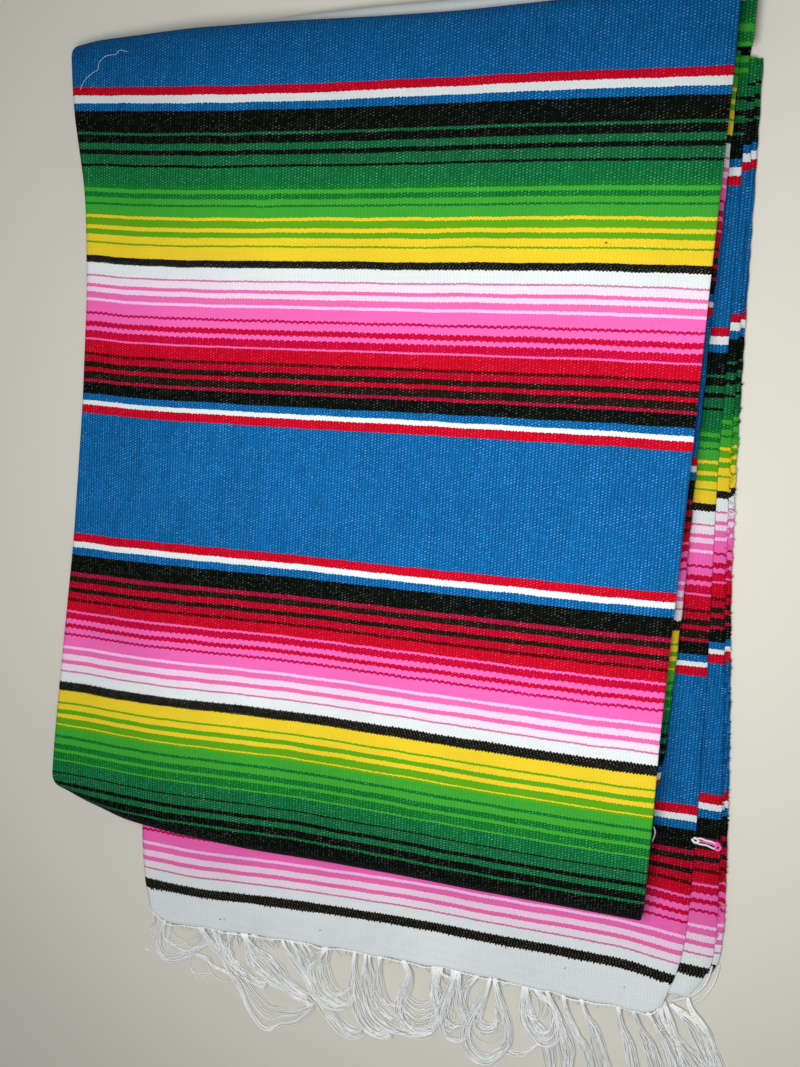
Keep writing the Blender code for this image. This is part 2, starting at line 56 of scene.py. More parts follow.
# --- driving sizes, as in the solids -----------------------------------------
PLY, GAP = 2.0, 0.3             # cloth thickness, air between plies
PITCH = PLY + GAP
LOWER_TOP = 8.9                 # upper face of the four plies at the fringed end
STACK_TOP = 36.8                # upper face of the top panel
STACK_LOW = LOWER_TOP + GAP
SINK_FROM, SINK_TO = -177.0, -206.0     # the left margin's underside sinks
SAG_FROM, SAG_TO = -135.0, -226.0       # and its top follows
BACK_R = 9.2                    # outer radius of the fold at the back edge
SIDE_R = 3.6                    # and of the lengthwise fold on the left
LOWER_SIDE_R = LOWER_TOP / 2
SOFTEN = 14.0                   # half width of the edge tables' smoothing
TUCK = 22.0                     # how far the top runs in under its back fold
RETURN_END = 266.0              # and Y to which it returns under its front fold
HEM_Y, LOWER_BACK = -285.0, 276.0       # the fringed end's plies
LOWER_LEFT = -180.0             # their left edge, where it is straight
SECOND_INSET, THIRD_INSET = 8.0, 10.0   # how far back two of their hems are
BACK_FOLD_START, BACK_FOLD_Z = 279.0, 18.1
BACK_FOLD_LEFT, BACK_FOLD_RIGHT = -209.0, 175.0
TURNED_LOW, TURNED_TOP = 11.5, 18.1
EDGE_BULGE = 0.8                # how far a wall's rounded edge stands out
BACK_END = 292.0                # Y where the top has drooped to its full depth


def table(names, *rows):
    """What reads a table of edges, which has a row per station: a column's value
    at any places, by straight lines between the rows, averaged over a short
    window so that the edge runs smoothly."""
    names, rows = names.split(), np.array(sorted(rows))

    def read(column, at):
        places = np.asarray(at, float)[..., None] + np.linspace(-SOFTEN, SOFTEN, 9)
        return np.interp(places, rows[:, 0], rows[:, names.index(column)]).mean(axis=-1)
    return read


# Long edges, a row per station along Y: X of each panel's edge.
side = table(
    "y top_left top_right turned_right",
    (310.0, -236.0, 166.0, 169.8),
    (254.0, -231.0, 165.7, 169.6),
    (196.0, -220.5, 164.6, 169.0),
    (140.0, -218.0, 163.8, 167.8),
    (66.0, -219.6, 163.0, 167.4),
    (-24.0, -224.5, 161.5, 167.2),
    (-97.0, -231.0, 160.0, 165.6),
    (-163.0, -236.5, 160.2, 163.8),
    (-230.0, -240.0, 159.6, 163.0))

# Edges of the fringed-end plies, a row per station along Y.
lower = table(
    "y lower_left lower_right second_right third_right",
    (300.0, -180.0, 173.5, 177.5, 181.0),
    (146.0, -180.0, 177.5, 182.4, 185.5),
    (52.0, -180.0, 178.5, 185.0, 188.5),
    (-31.0, -180.0, 182.0, 189.5, 193.0),
    (-87.0, -180.0, 184.5, 194.5, 198.0),
    (-147.0, -180.0, 186.0, 199.0, 202.6),
    (-208.0, -179.5, 187.0, 202.5, 206.6),
    (-244.0, -178.5, 186.4, 204.4, 208.8),
    (-256.0, -177.0, 185.0, 203.6, 207.8),
    (-266.0, -175.5, 182.6, 203.0, 207.2),
    (-277.0, -174.5, 179.6, 198.0, 202.5),
    (-290.0, -169.0, 174.5, 185.0, 189.0))

# Crosswise edges, a row per station along X: Y of the folds and of the hem.
cross = table(
    "x front_fold back_edge hidden_fold hem",
    (-240.0, -197.0, 286.0, 284.0, -288.5),
    (-225.0, -204.5, 292.0, 287.0, -288.5),
    (-200.0, -211.0, 293.0, 291.0, -288.5),
    (-170.0, -213.8, 293.6, 295.0, -288.5),
    (-135.0, -215.5, 294.6, 299.0, -288.0),
    (-90.0, -217.3, 296.2, 304.5, -285.5),
    (-40.0, -216.6, 296.6, 308.0, -283.4),
    (15.0, -216.8, 298.0, 310.5, -282.8),
    (60.0, -218.0, 301.0, 312.0, -282.4),
    (118.0, -218.4, 304.8, 313.6, -284.8),
    (160.0, -218.8, 306.6, 314.0, -285.7),
    (210.0, -218.8, 307.0, 312.0, -286.5))

# --- the stripes -------------------------------------------------------------
# Yarn colours, linear.
YARN = {
    "blue": (0.003, 0.106, 0.305),
    "red": (0.495, 0.001, 0.017),
    "crimson": (0.515, 0.001, 0.036),
    "wine": (0.400, 0.001, 0.018),
    "dark_red": (0.300, 0.004, 0.030),
    "magenta": (0.480, 0.001, 0.080),
    "pink": (0.850, 0.135, 0.450),
    "mid_pink": (0.800, 0.145, 0.410),
    "old_rose": (0.580, 0.180, 0.340),
    "rose": (0.920, 0.520, 0.850),
    "pale_pink": (0.860, 0.620, 0.810),
    "blush": (0.830, 0.700, 0.810),
    "white": (0.735, 0.788, 0.795),
    "black": (0.0010, 0.0026, 0.0012),
    "warm_black": (0.0120, 0.0055, 0.0025),
    "rope_black": (0.0058, 0.0048, 0.0020),
    # painted highlight on the black stripe's twisted rope
    "painted_rope_highlight": (0.0460, 0.0510, 0.0420),
    "soot": (0.090, 0.001, 0.002),
    "yellow": (0.800, 0.590, 0.026),
    "lime": (0.105, 0.360, 0.009),
    "light_green": (0.045, 0.350, 0.030),
    "green": (0.005, 0.160, 0.022),
    "mid_green": (0.004, 0.130, 0.036),
    "dark_green": (0.006, 0.110, 0.038),
}

# Each half of a band, out from the middle of its black stripe to the field: a
# stripe's yarn, and its width in the bands above the field and in those below,
# which are woven a little differently. One with no width is left out.
PINK_HALF = (
    ("black", 1.7, 1.7), ("white", 7.8, 7.6), ("old_rose", 1.0, 1.0), ("blush", 4.6, 4.2),
    ("mid_pink", 2.2, 2.7), ("pale_pink", 3.1, 3.6), ("mid_pink", 3.9, 3.5),
    ("rose", 1.7, 1.7), ("pink", 7.0, 6.7), ("magenta", 1.4, 1.5), ("pink", 4.4, 3.2),
    ("crimson", 3.2, 2.8), ("pink", 2.6, 2.9), ("crimson", 4.9, 4.2), ("pink", 1.1, 1.3),
    ("red", 8.0, 6.0), ("soot", 1.9, 1.9), ("wine", 3.8, 3.9), ("warm_black", 3.5, 3.0),
    ("wine", 2.7, 3.6), ("warm_black", 4.7, 3.5), ("dark_red", 1.9, 2.5),
    ("black", 7.4, 10.9), ("blue", 4.4, 4.5), ("white", 2.8, 3.6), ("red", 5.4, 5.1))
GREEN_HALF = (
    ("black", 1.9, 1.9), ("yellow", 7.8, 8.9), ("lime", 1.1, 1.3), ("yellow", 4.5, 3.9),
    ("lime", 3.1, 3.1), ("yellow", 2.5, 2.8), ("lime", 4.2, 4.6), ("yellow", 1.8, 0.8),
    ("lime", 0, 1.7), ("light_green", 6.2, 5.6), ("green", 1.3, 1.9),
    ("light_green", 3.2, 4.0), ("green", 3.1, 3.7), ("light_green", 2.4, 2.3),
    ("green", 2.4, 5.0), ("light_green", 0, 1.0), ("mid_green", 10.4, 8.3),
    ("black", 1.5, 0.9), ("dark_green", 5.6, 6.1), ("black", 2.7, 2.6),
    ("dark_green", 3.9, 3.6), ("black", 4.9, 4.8), ("dark_green", 1.5, 1.5),
    ("black", 12.5, 8.2), ("blue", 4.6, 4.6), ("white", 4.6, 4.6), ("red", 4.9, 4.9))
FIELD_HALF = 39.0
PINK_LONG, GREEN_LONG = (sum(row[1] for row in half) for half in (PINK_HALF, GREEN_HALF))
TO_BLACK = FIELD_HALF + PINK_LONG           # from a field's middle to a black stripe
TO_GREEN_END = TO_BLACK + GREEN_LONG        # and to the next field
REPEAT = TO_GREEN_END + FIELD_HALF          # and to its middle, where it mirrors

RIB = 1.92                      # spacing of the ribs across the cloth
PICK = 0.80                     # spacing of the weft rows along it
SLANT = -0.9                    # rows that a weft float climbs across a rib
ZIGZAG_AT = 38.0                # the zigzag crimson, from the black stripe's middle


# --- reading the tables ------------------------------------------------------
def smooth_step(x, start, end):
    """From 0 at the start to 1 at the end, level at both."""
    t = np.clip((x - start) / (end - start), 0, 1)
    return t * t * (3 - 2 * t)


def sink(x):
    return STACK_LOW * smooth_step(x, SINK_FROM, SINK_TO)


def sag(x):
    return STACK_LOW * smooth_step(x, SAG_FROM, SAG_TO)


def front_radius(x):
    return (STACK_TOP - sag(x) - STACK_LOW + sink(x)) / 2


def turned_edge(y):
    """The turned panel's right edge, drawn in under the top panel's edge as it
    nears the front fold."""
    hidden = side("top_right", y) - 1.5
    return hidden + (side("turned_right", y) - hidden) * smooth_step(y, -172.0, -118.0)


# Where the hem starts to turn up at each end, over what length and how high.
HEM_CORNERS = ((-155.0, -15.0, 8.0), (166.0, 10.0, 6.0))


def hem_line(x):
    """Y of the hem, which turns up in a round corner at both ends and is pulled
    a little by its fringe: two short sine waves."""
    pulled = 0.45 * np.sin(x / 5.5) + 0.30 * np.sin(x / 2.9 + 1.0)
    corners = 0.0
    for start, long, high in HEM_CORNERS:
        corners = corners + high * np.clip((x - start) / long, 0, 1) ** 2.5
    return cross("hem", x) + pulled + corners


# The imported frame's place in the cloth's own frame, from two of its edges.
SHIFT = np.array([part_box("lower_panel")[0][0] / MM - LOWER_LEFT,
                  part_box("second_end_layer")[1][1] / MM - LOWER_BACK - EDGE_BULGE, 0.0])


def put(points):
    """Millimetres in the cloth's own frame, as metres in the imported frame."""
    return (np.asarray(points, float) + SHIFT) * MM


# --- soft unevenness ---------------------------------------------------------
# Long shallow swells of the cloth: how high, waves across and along, start.
SWELLS = (
    (0.30, 1.3, 0.6, 0.4),
    (0.22, -0.8, 1.9, 2.1),
    (0.16, 2.9, 1.2, 4.0),
    (0.12, 0.7, -3.4, 1.3),
    (0.09, 4.6, 2.7, 5.2),
)


def swell(x, y, seed=0.0):
    """Height of the cloth's soft unevenness: a few slow waves added up, each
    with its own height, counts over 400 mm across and along, and start."""
    total = 0.0
    for high, across, along, start in SWELLS:
        turn = 2 * np.pi / 400
        total = total + high * np.sin(turn * (across * x + along * y) + start * (1 + seed) + seed)
    return total


# --- making meshes -----------------------------------------------------------
def grid_faces(index):
    """Quads over a two-way array of point numbers."""
    a, b = index[:-1, :-1], index[1:, :-1]
    c, d = index[1:, 1:], index[:-1, 1:]
    return np.stack([a, b, c, d], axis=-1).reshape(-1, 4)


def show(name, data):
    """A mesh, a light or a camera, put in the scene."""
    thing = bpy.data.objects.new(name, data)
    bpy.context.scene.collection.objects.link(thing)
    return thing


def make_piece(name, points, faces, material, marks):
    """One shown piece from millimetre points and lists of faces. `marks` holds,
    for each point, how far across and along the weave it is, then in the cloth's
    colours its place in the stripes and its painted shade level, 1 where the yarn
    is as its own colour says and less where shade is painted into it. The first
    two are the UV map, the others attributes."""
    mesh = bpy.data.meshes.new(name)
    mesh.from_pydata(put(points), [], faces)
    mesh.polygons.foreach_set("use_smooth", np.ones(len(faces), bool))
    corner = np.empty(len(mesh.loops), int)
    mesh.loops.foreach_get("vertex_index", corner)
    uv = mesh.uv_layers.new(name="weave")
    uv.data.foreach_set("uv", (marks[corner, :2] * MM).astype(np.float32).ravel())
    # Attributes: the place in the stripes, and the level of painted shade.
    for attribute, values in zip(("stripe", "painted_shade_level"), marks.T[2:]):
        layer = mesh.attributes.new(attribute, "FLOAT", "POINT")
        layer.data.foreach_set("value", values.astype(np.float32))
    mesh.materials.append(material)
    mesh.update()
    piece = show(name, mesh)
    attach(piece, "root")
    return piece


def stacked(*values):
    """Values for every point of a grid, side by side in one array."""
    return np.stack(np.broadcast_arrays(*values), axis=-1)


def border(rows, columns):
    """Row and column of each border point, once round."""
    r = np.concatenate([np.zeros(columns - 1, int), np.arange(rows - 1),
                        np.full(columns - 1, rows - 1), np.arange(rows - 1, 0, -1)])
    c = np.concatenate([np.arange(columns - 1), np.full(rows - 1, columns - 1),
                        np.arange(columns - 1, 0, -1), np.zeros(rows - 1, int)])
    return r, c


RIM_TURNS = np.radians([45, 90, 135])       # the rounded edge between both faces


def cloth_wall(outer, inner, marks):
    """A closed wall between two grids of points, with an edge rounded like an
    ellipse from one face to the other: points, quads and marks."""
    rows, columns, _ = outer.shape
    count = rows * columns
    r, c = border(rows, columns)
    in_r, in_c = np.clip(r, 1, rows - 2), np.clip(c, 1, columns - 2)
    middle = (outer[r, c] + inner[r, c]) / 2
    across = outer[r, c] - middle
    away = middle - (outer[in_r, in_c] + inner[in_r, in_c]) / 2
    away /= np.linalg.norm(away, axis=1)[:, None]
    rings = [middle + across * np.cos(turn) + away * EDGE_BULGE * np.sin(turn)
             for turn in RIM_TURNS]
    points = np.concatenate([outer.reshape(-1, 3), inner.reshape(-1, 3)] + rings)
    index = np.arange(count).reshape(rows, columns)
    loops = [index[r, c]]
    loops += [2 * count + k * len(r) + np.arange(len(r)) for k in range(len(rings))]
    loops += [index[r, c] + count]
    closed = np.stack([np.append(k, k[0]) for k in loops])
    faces = np.concatenate([grid_faces(index), grid_faces(index[:, ::-1] + count),
                            grid_faces(closed[:, ::-1])])
    flat = marks.reshape(-1, 4)
    rim_marks = np.tile(marks[r, c], (len(rings), 1))
    return points, faces, np.concatenate([flat, flat, rim_marks])


def outward(points, faces):
    """The quads turned so that the closed shape's volume is positive."""
    a, b, c, d = (points[faces[:, k]] for k in range(4))
    volume = (a * np.cross(b, c)).sum() + (a * np.cross(c, d)).sum()
    return faces if volume > 0 else faces[:, ::-1]


def cloth(name, grid, node=None, depths=(0.0, PLY), **sheet):
    """A ply between one grid at two depths, in the striped cloth: a piece that
    may stand for a CAD node. What is said of it as a sheet is not used."""
    outer, marks = grid(depths[0])
    inner, _ = grid(depths[1])
    points, faces, marks = cloth_wall(outer, inner, marks)
    piece = make_piece(name, points, outward(points, faces).tolist(), CLOTH, marks)
    if node:
        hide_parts(node)


def stripe_at(y, lines, places):
    """Place in the stripes: straight between lines whose Y and whose place are
    known, and one for one past the first and the last."""
    first, last = lines[0], lines[-1]
    total = places[0] + np.minimum(y - first, 0) + np.maximum(y - last, 0)
    for k in range(len(lines) - 1):
        share = np.clip((y - lines[k]) / (lines[k + 1] - lines[k]), 0, 1)
        total = total + share * (places[k + 1] - places[k])
    return total


# --- materials ---------------------------------------------------------------
def plug(node, inputs):
    """Join values to a node's inputs, or set the plain ones."""
    for key, value in inputs.items():
        if isinstance(value, Value):
            node.id_data.links.new(value.socket, node.inputs[key])
        else:
            node.inputs[key].default_value = value


class Value:
    """What a shader node gives. Arithmetic on it adds the nodes for it."""

    def __init__(self, socket):
        self.socket = socket

    def math(self, kind, *others, clamp=False):
        node = self.socket.id_data.nodes.new("ShaderNodeMath")
        node.operation, node.use_clamp = kind, clamp
        plug(node, dict(enumerate((self, *others))))
        return Value(node.outputs[0])

    __add__ = partialmethod(math, "ADD")
    __sub__ = partialmethod(math, "SUBTRACT")
    __mul__ = partialmethod(math, "MULTIPLY")
    __pow__ = partialmethod(math, "POWER")
    __abs__ = partialmethod(math, "ABSOLUTE")
    clamp = partialmethod(math, "ADD", 0.0, clamp=True)     # kept from 0 to 1


class Nodes:
    """A new material and short calls for its shader nodes."""

    def __init__(self, name):
        self.material = bpy.data.materials.new(name)
        self.material.use_nodes = True
        self.nodes = self.material.node_tree.nodes
        self.shader = self.nodes["Principled BSDF"]

    def add(self, kind, inputs={}, **settings):
        """A node's outputs, from its inputs and settings."""
        node = self.nodes.new(kind)
        for key, value in settings.items():
            setattr(node, key, value)
        plug(node, inputs)
        return [Value(socket) for socket in node.outputs]

    def weave(self):
        """The UV map, and how far across and along the weave it is in metres."""
        uv = self.add("ShaderNodeUVMap", uv_map="weave")[0]
        return (uv, *self.add("ShaderNodeSeparateXYZ", {0: uv})[:2])

    def attribute(self, name):
        return self.add("ShaderNodeAttribute", attribute_name=name)[2]

    def mix(self, share, a, b, blend="MIX"):
        """Colour a turning to colour b."""
        inputs = {0: share, 6: a, 7: b}
        return self.add("ShaderNodeMix", inputs, data_type="RGBA", blend_type=blend)[2]

    def noise(self, vector, scale, detail=2.0, rough=0.5):
        return self.add("ShaderNodeTexNoise", {"Vector": vector, "Scale": scale,
                                               "Detail": detail, "Roughness": rough})[0]

    def shake(self, vector, high, *kind):
        """Noise about zero, of this height from its least to its most."""
        return (self.noise(vector, *kind) - 0.5) * high

    def ramp(self, value, stops, interpolation="CONSTANT"):
        node = self.nodes.new("ShaderNodeValToRGB")
        band = node.color_ramp
        band.interpolation = interpolation
        while len(band.elements) > 1:
            band.elements.remove(band.elements[-1])
        band.elements[0].position = stops[0][0]
        band.elements[0].color = (*stops[0][1], 1)
        for place, colour in stops[1:]:
            band.elements.new(place).color = (*colour, 1)
        plug(node, {0: value})
        return Value(node.outputs[0])

    def dress(self, inputs, height=None, strength=1.0, deep=0.0):
        """The shader's inputs, and relief of a height `deep` millimetres high."""
        plug(self.shader, inputs)
        if height:
            bump = self.add("ShaderNodeBump", {"Strength": strength, "Distance": deep * MM,
                                               "Height": height})[0]
            plug(self.shader, {"Normal": bump})
        return self.material


CHART_PARTS = 5     # a ramp holds 256 steps, so the chart is shared among some


def chart_starts(below):
    """Where each stripe starts and its yarn, from the middle of a field with
    pink sides to the middle of the next, which has green ones."""
    pink, green = ([(row[1 + below], row[0]) for row in half if row[1 + below]]
                   for half in (PINK_HALF, GREEN_HALF))
    stripes = [(FIELD_HALF, "blue"), *reversed(pink), *green, (FIELD_HALF, "blue")]
    ends = np.cumsum([0.0] + [width for width, _ in stripes])
    return [(start, YARN[yarn]) for start, (_, yarn) in zip(ends, stripes)]


def chart_colour(n, place, below):
    """The yarn's colour at a place in the chart above the field (0) or below it
    (1), read from one ramp a part."""
    starts, long, colour = chart_starts(below), REPEAT / CHART_PARTS, None
    for part in range(CHART_PARTS):
        low, high = part * long, (part + 1) * long
        first = [yarn for start, yarn in starts if start <= low][-1]
        stops = [(0.0, first)] + [((start - low) / long, yarn) for start, yarn in starts
                                  if low < start < high]
        ramp = n.ramp((place - low) * (1 / long), stops)
        if colour is not None:
            ramp = n.mix(place.math("GREATER_THAN", low), colour, ramp)
        colour = ramp
    return colour


ARCH_MEAN = 0.64    # mean of an arch, so that a scalloped edge stays in its place


def striped_cloth():
    """Weft-faced ribbed weave. The stripe attribute, mirrored at every repeat,
    reads the two halves of the chart. `lie` is cos(across) * cos(along): high
    where the weft lies on a rib, and -1 at the crossings where warp can show."""
    n = Nodes("striped_cloth")
    uv, across, along = n.weave()
    ribs = across * (1 / (RIB * MM))
    picks = along * (1 / (PICK * MM)) + n.noise(uv, 60.0) * 1.2
    rib = (ribs * math.pi).math("COSINE")
    round_rib = abs(rib)
    slant = picks + (ribs - ribs.math("ROUND")) * SLANT
    lie = rib * (slant * math.pi).math("COSINE")

    # The edge of every stripe is scalloped, an arch to each pair of ribs, and
    # the crimson ones near the pink run in a zigzag.
    arch, other = (abs((ribs * (math.pi / 2)).math(kind)) for kind in ("COSINE", "SINE"))
    stripe = n.attribute("stripe") + n.shake(uv, 1.5, 45.0, 3.0)
    from_black = stripe.math("PINGPONG", REPEAT) - TO_BLACK
    zigzag = (abs(from_black + ZIGZAG_AT) * -0.2 + 2.6).clamp()
    moved = stripe + (arch - ARCH_MEAN) * (n.noise(uv, 130.0) * -0.5 + 0.05)
    moved = moved + (round_rib - ARCH_MEAN) * 0.30 + rib * 0.40 * zigzag
    place = (moved + n.shake(uv, 1.1, 1100.0)).math("PINGPONG", REPEAT)
    below = stripe.math("LESS_THAN", 0.0)
    colour = n.mix(below, chart_colour(n, place, 0), chart_colour(n, place, 1))

    # The black stripe is doubled yarn: it bulges roundly at every other rib,
    # more towards the white than towards the yellow, and more below the field.
    teeth = round_rib * 0.75 - 0.48 + n.shake(uv, 0.6, 700.0)
    wide = below * 0.34 + 0.83 + n.shake(uv, 0.22, 420.0, 1.0)
    to_white = arch ** 0.5 * 0.40 + 2.28 + teeth
    to_yellow = other ** 0.5 * 0.20 + 2.45 + teeth
    room = (to_white * wide + from_black).math("MINIMUM", to_yellow * wide - from_black)
    knotted = (room * 12.0).clamp()
    # Painted highlights on the rope: where each ply of its twist turns up, the black is lightened
    # to a painted highlight colour.
    ply = (ribs * (2 * math.pi) - from_black * 1.7).math("SINE")
    ply = (ply * 1.8 - 0.75).clamp() * (n.noise(uv, 500.0) * 2.4 - 0.6).clamp()
    rope = n.mix(ply, (*YARN["rope_black"], 1), (*YARN["painted_rope_highlight"], 1))
    colour = n.mix(knotted, colour, rope)

    # Deep colours show the weave, pale ones hide it.
    red, green, _ = n.add("ShaderNodeSeparateColor", {0: colour})
    shown = (red * -1.4 + green * -2.6 + 1.1).math("MAXIMUM", 0.07).math("MINIMUM", 1.0)

    # Each crossing's own chance of a light speck: warp showing through, and partly
    # a painted highlight on the weft's bump.
    column = (ribs + 0.5).math("FLOOR")
    row = ((picks + column.math("PINGPONG", 1.0)) * 0.5).math("FLOOR")
    cell = n.add("ShaderNodeCombineXYZ", {0: column, 1: row})[0]
    chance = n.add("ShaderNodeTexWhiteNoise", {"Vector": cell}, noise_dimensions="2D")[0]
    chance = chance * n.noise(uv, 75.0, 3.0, 0.6) * 1.7
    narrow = round_rib ** 3.0
    crossing = (lie * -2.2 - 0.35).clamp() * narrow
    specks_and_painted_highlights = crossing * chance ** 2.0 * shown

    # Yarn unevenness: clouds over the cloth, streaks and bands down the ribs,
    # bars across them; and painted light and shade of the weave: the gaps between
    # ribs darker, the crossings lighter.
    down, over = (n.add("ShaderNodeMapping", {"Vector": uv, "Scale": scale})[0]
                  for scale in ((1.0, 0.16, 1.0), (0.10, 1.0, 1.0)))
    streaks_and_painted_gap_shade = round_rib * 0.70 - 0.445 + n.shake(down, 1.10, 700.0, 3.0, 0.6)
    streaks_and_painted_gap_shade = streaks_and_painted_gap_shade + n.shake(down, 0.50, 110.0)
    bars = n.shake(over, 0.30, 420.0) * shown.math("MAXIMUM", 0.4)
    painted_weave_light = crossing * (chance * 1.9 + 0.05) - lie * narrow * (chance * 0.6 + 0.30)
    level = n.noise(uv, 14.0, 4.0) * 0.30 + 0.83 + bars + (streaks_and_painted_gap_shade + painted_weave_light) * shown
    # Painted shade: the piece's painted shade level darkens its colour and its specks.
    painted_light_level = n.attribute("painted_shade_level")
    shade = {"Value": level.math("MAXIMUM", 0.12) * painted_light_level, "Color": colour}
    # Light grey specks added to the colour: warp, and partly painted highlights.
    colour = n.mix(specks_and_painted_highlights * painted_light_level, n.add("ShaderNodeHueSaturation", shade)[0],
                   (0.11, 0.11, 0.11, 1), "ADD")

    # Relief: round ribs, weft rows passing over them, loose fibres, and the
    # knots of the black stripe.
    height = (round_rib * 0.35 + lie * 0.45) * (shown * 0.88 + 0.12)
    height = height + n.noise(uv, 2600.0, 3.0, 0.7) * 0.45
    height = height + (room * 0.7).clamp() * 2.4 + knotted * lie * 0.9
    return n.dress({"Base Color": colour, "Roughness": 0.75, "Specular IOR Level": 0.05,
                    "Sheen Weight": 0.004, "Sheen Roughness": 0.45}, height, 0.8, 0.35)


def fringe_yarn():
    """Loose white yarn: two strands twisted, shown by slanted ribs along its
    length, and slightly greyer in random patches."""
    n = Nodes("fringe_yarn")
    _, around, along = n.weave()
    twist = (around * (2 * math.pi) + along * (2 * math.pi / (1.6 * MM))).math("SINE")
    place = n.add("ShaderNodeTexCoord")[3]      # the piece's own
    greys = ((0.3, (0.86, 0.89, 0.88)), (0.62, (0.97, 0.99, 0.99)))
    colour = n.ramp(n.noise(place, 90.0, 3.0), greys, "LINEAR")
    return n.dress({"Base Color": colour, "Roughness": 0.6, "Sheen Weight": 0.15},
                   twist, 0.35, 0.10)


CLOTH = striped_cloth()
WHITE_YARN = fringe_yarn()


# --- the top panel -----------------------------------------------------------
# Where known stripes cross it, a row per station along X: Y of the lower black
# stripe, the blue field's two edges, the upper black stripe and the next field.
TOP_LINE_NAMES = "lower_black", "field_start", "field_end", "upper_black", "next_field"
top_line = table(
    "x " + " ".join(TOP_LINE_NAMES),
    (-217.0, -124.3, -19.4, 60.0, 157.75, 262.0),
    (-190.0, -124.1, -19.6, 58.8, 155.65, 260.6),
    (-165.0, -123.2, -19.1, 58.2, 154.45, 258.8),
    (-130.0, -121.9, -18.8, 58.5, 154.15, 257.7),
    (-60.0, -120.3, -18.3, 58.8, 155.25, 258.1),
    (0.0, -121.1, -19.1, 59.7, 155.75, 259.3),
    (50.0, -122.3, -18.8, 59.8, 156.85, 261.0),
    (110.0, -123.0, -19.3, 60.3, 157.85, 261.6),
    (160.0, -122.6, -19.0, 60.0, 157.35, 262.3))
# Below the lower black stripe the weft is packed closer towards the front
# fold: how far below, and the place in the chart there.
FRONT_LINES = ((104.0, 87.0), (81.0, 81.0), (60.0, 60.0))
TOP_PLACES = (*(-TO_BLACK - place for _, place in FRONT_LINES),
              -TO_BLACK, -FIELD_HALF, FIELD_HALF, TO_BLACK, TO_GREEN_END)


KNOT_RISE = 0.3                         # the black stripe stands this much proud
DROOP, DROOP_FROM = 2.0, 235.0  # the top sinks this much towards the back, from Y


def droop(y):
    return DROOP * smooth_step(y, DROOP_FROM, BACK_END)


def top_stripes(x, y):
    """Place in the stripes on the top panel, at X and at the unrolled Y."""
    lines = [top_line(name, x) for name in TOP_LINE_NAMES]
    lines = [lines[0] - below for below, _ in FRONT_LINES] + lines
    return stripe_at(y, lines, TOP_PLACES)


def fold_path(stretches):
    """Stations along a zigzag path, each a row: which stretch it is on (0 tuck,
    1 back fold, 2 top, 3 front fold, 4 return) and how far along it, 0 to 1."""
    return np.concatenate([np.stack([np.full(len(at), kind), at], axis=1)
                           for kind, at in enumerate(stretches)])


def on_path(path, x, inner=0.0, tuck=TUCK):
    """Y, Z, outward normal and unrolled Y of a ply that lies `inner` inside the
    top panel's outer face, for a station in each row and an X in each column.
    The folds are half circles."""
    kind, at = path[:, :1], path[:, 1:]
    top, front_r = STACK_TOP - sag(x), front_radius(x)
    back_y = cross("back_edge", x) - BACK_R
    front_y = cross("front_fold", x) + front_r
    back_long, front_long, quarter = np.pi * BACK_R, np.pi * front_r, np.pi / 2
    tucked, back, over, front = (kind == k for k in range(4))

    turn = np.select([back, over, front], [at * np.pi - quarter, quarter, at * np.pi + quarter],
                     -quarter)
    radius = np.select([tucked | back, over], [BACK_R, 0.0], front_r) - inner
    centre_y = np.select([tucked, back, over, front],
                         [back_y - tuck * (1 - at), back_y,
                          back_y + (front_y - back_y) * at, front_y],
                         front_y + (RETURN_END - front_y) * at)
    centre_z = np.select([tucked | back, over], [top - BACK_R, top], top - front_r)
    unrolled = np.select(
        [tucked, back, over, front],
        [back_y + back_long + tuck * (1 - at), back_y + back_long * (1 - at), centre_y,
         front_y - front_long * at],
        front_y - front_long - (RETURN_END - front_y) * at)
    normal_y, normal_z = np.cos(turn), np.sin(turn)
    return (centre_y + radius * normal_y, centre_z + radius * normal_z,
            normal_y, normal_z, unrolled)


def even(start, end, step):
    """Evenly spaced values from start to end, about a step apart."""
    return np.linspace(start, end, max(2, int(round(abs(end - start) / step)) + 1))


ROW_STEP = 1.6          # between a narrow margin's rows
TOP_PATH = fold_path((np.linspace(0, 1, 8)[:-1], np.linspace(0, 1, 22),
                      np.linspace(0, 1, 260)[1:-1], np.linspace(0, 1, 30),
                      np.linspace(0, 1, 50)[1:]))


def settle(edge, path, *ply):
    """X of a long edge on a path's rows, whose Y depends on X: by repeating."""
    x = np.zeros((len(path), 1))
    for _ in range(4):
        x = edge(on_path(path, x, *ply)[0])
    return x


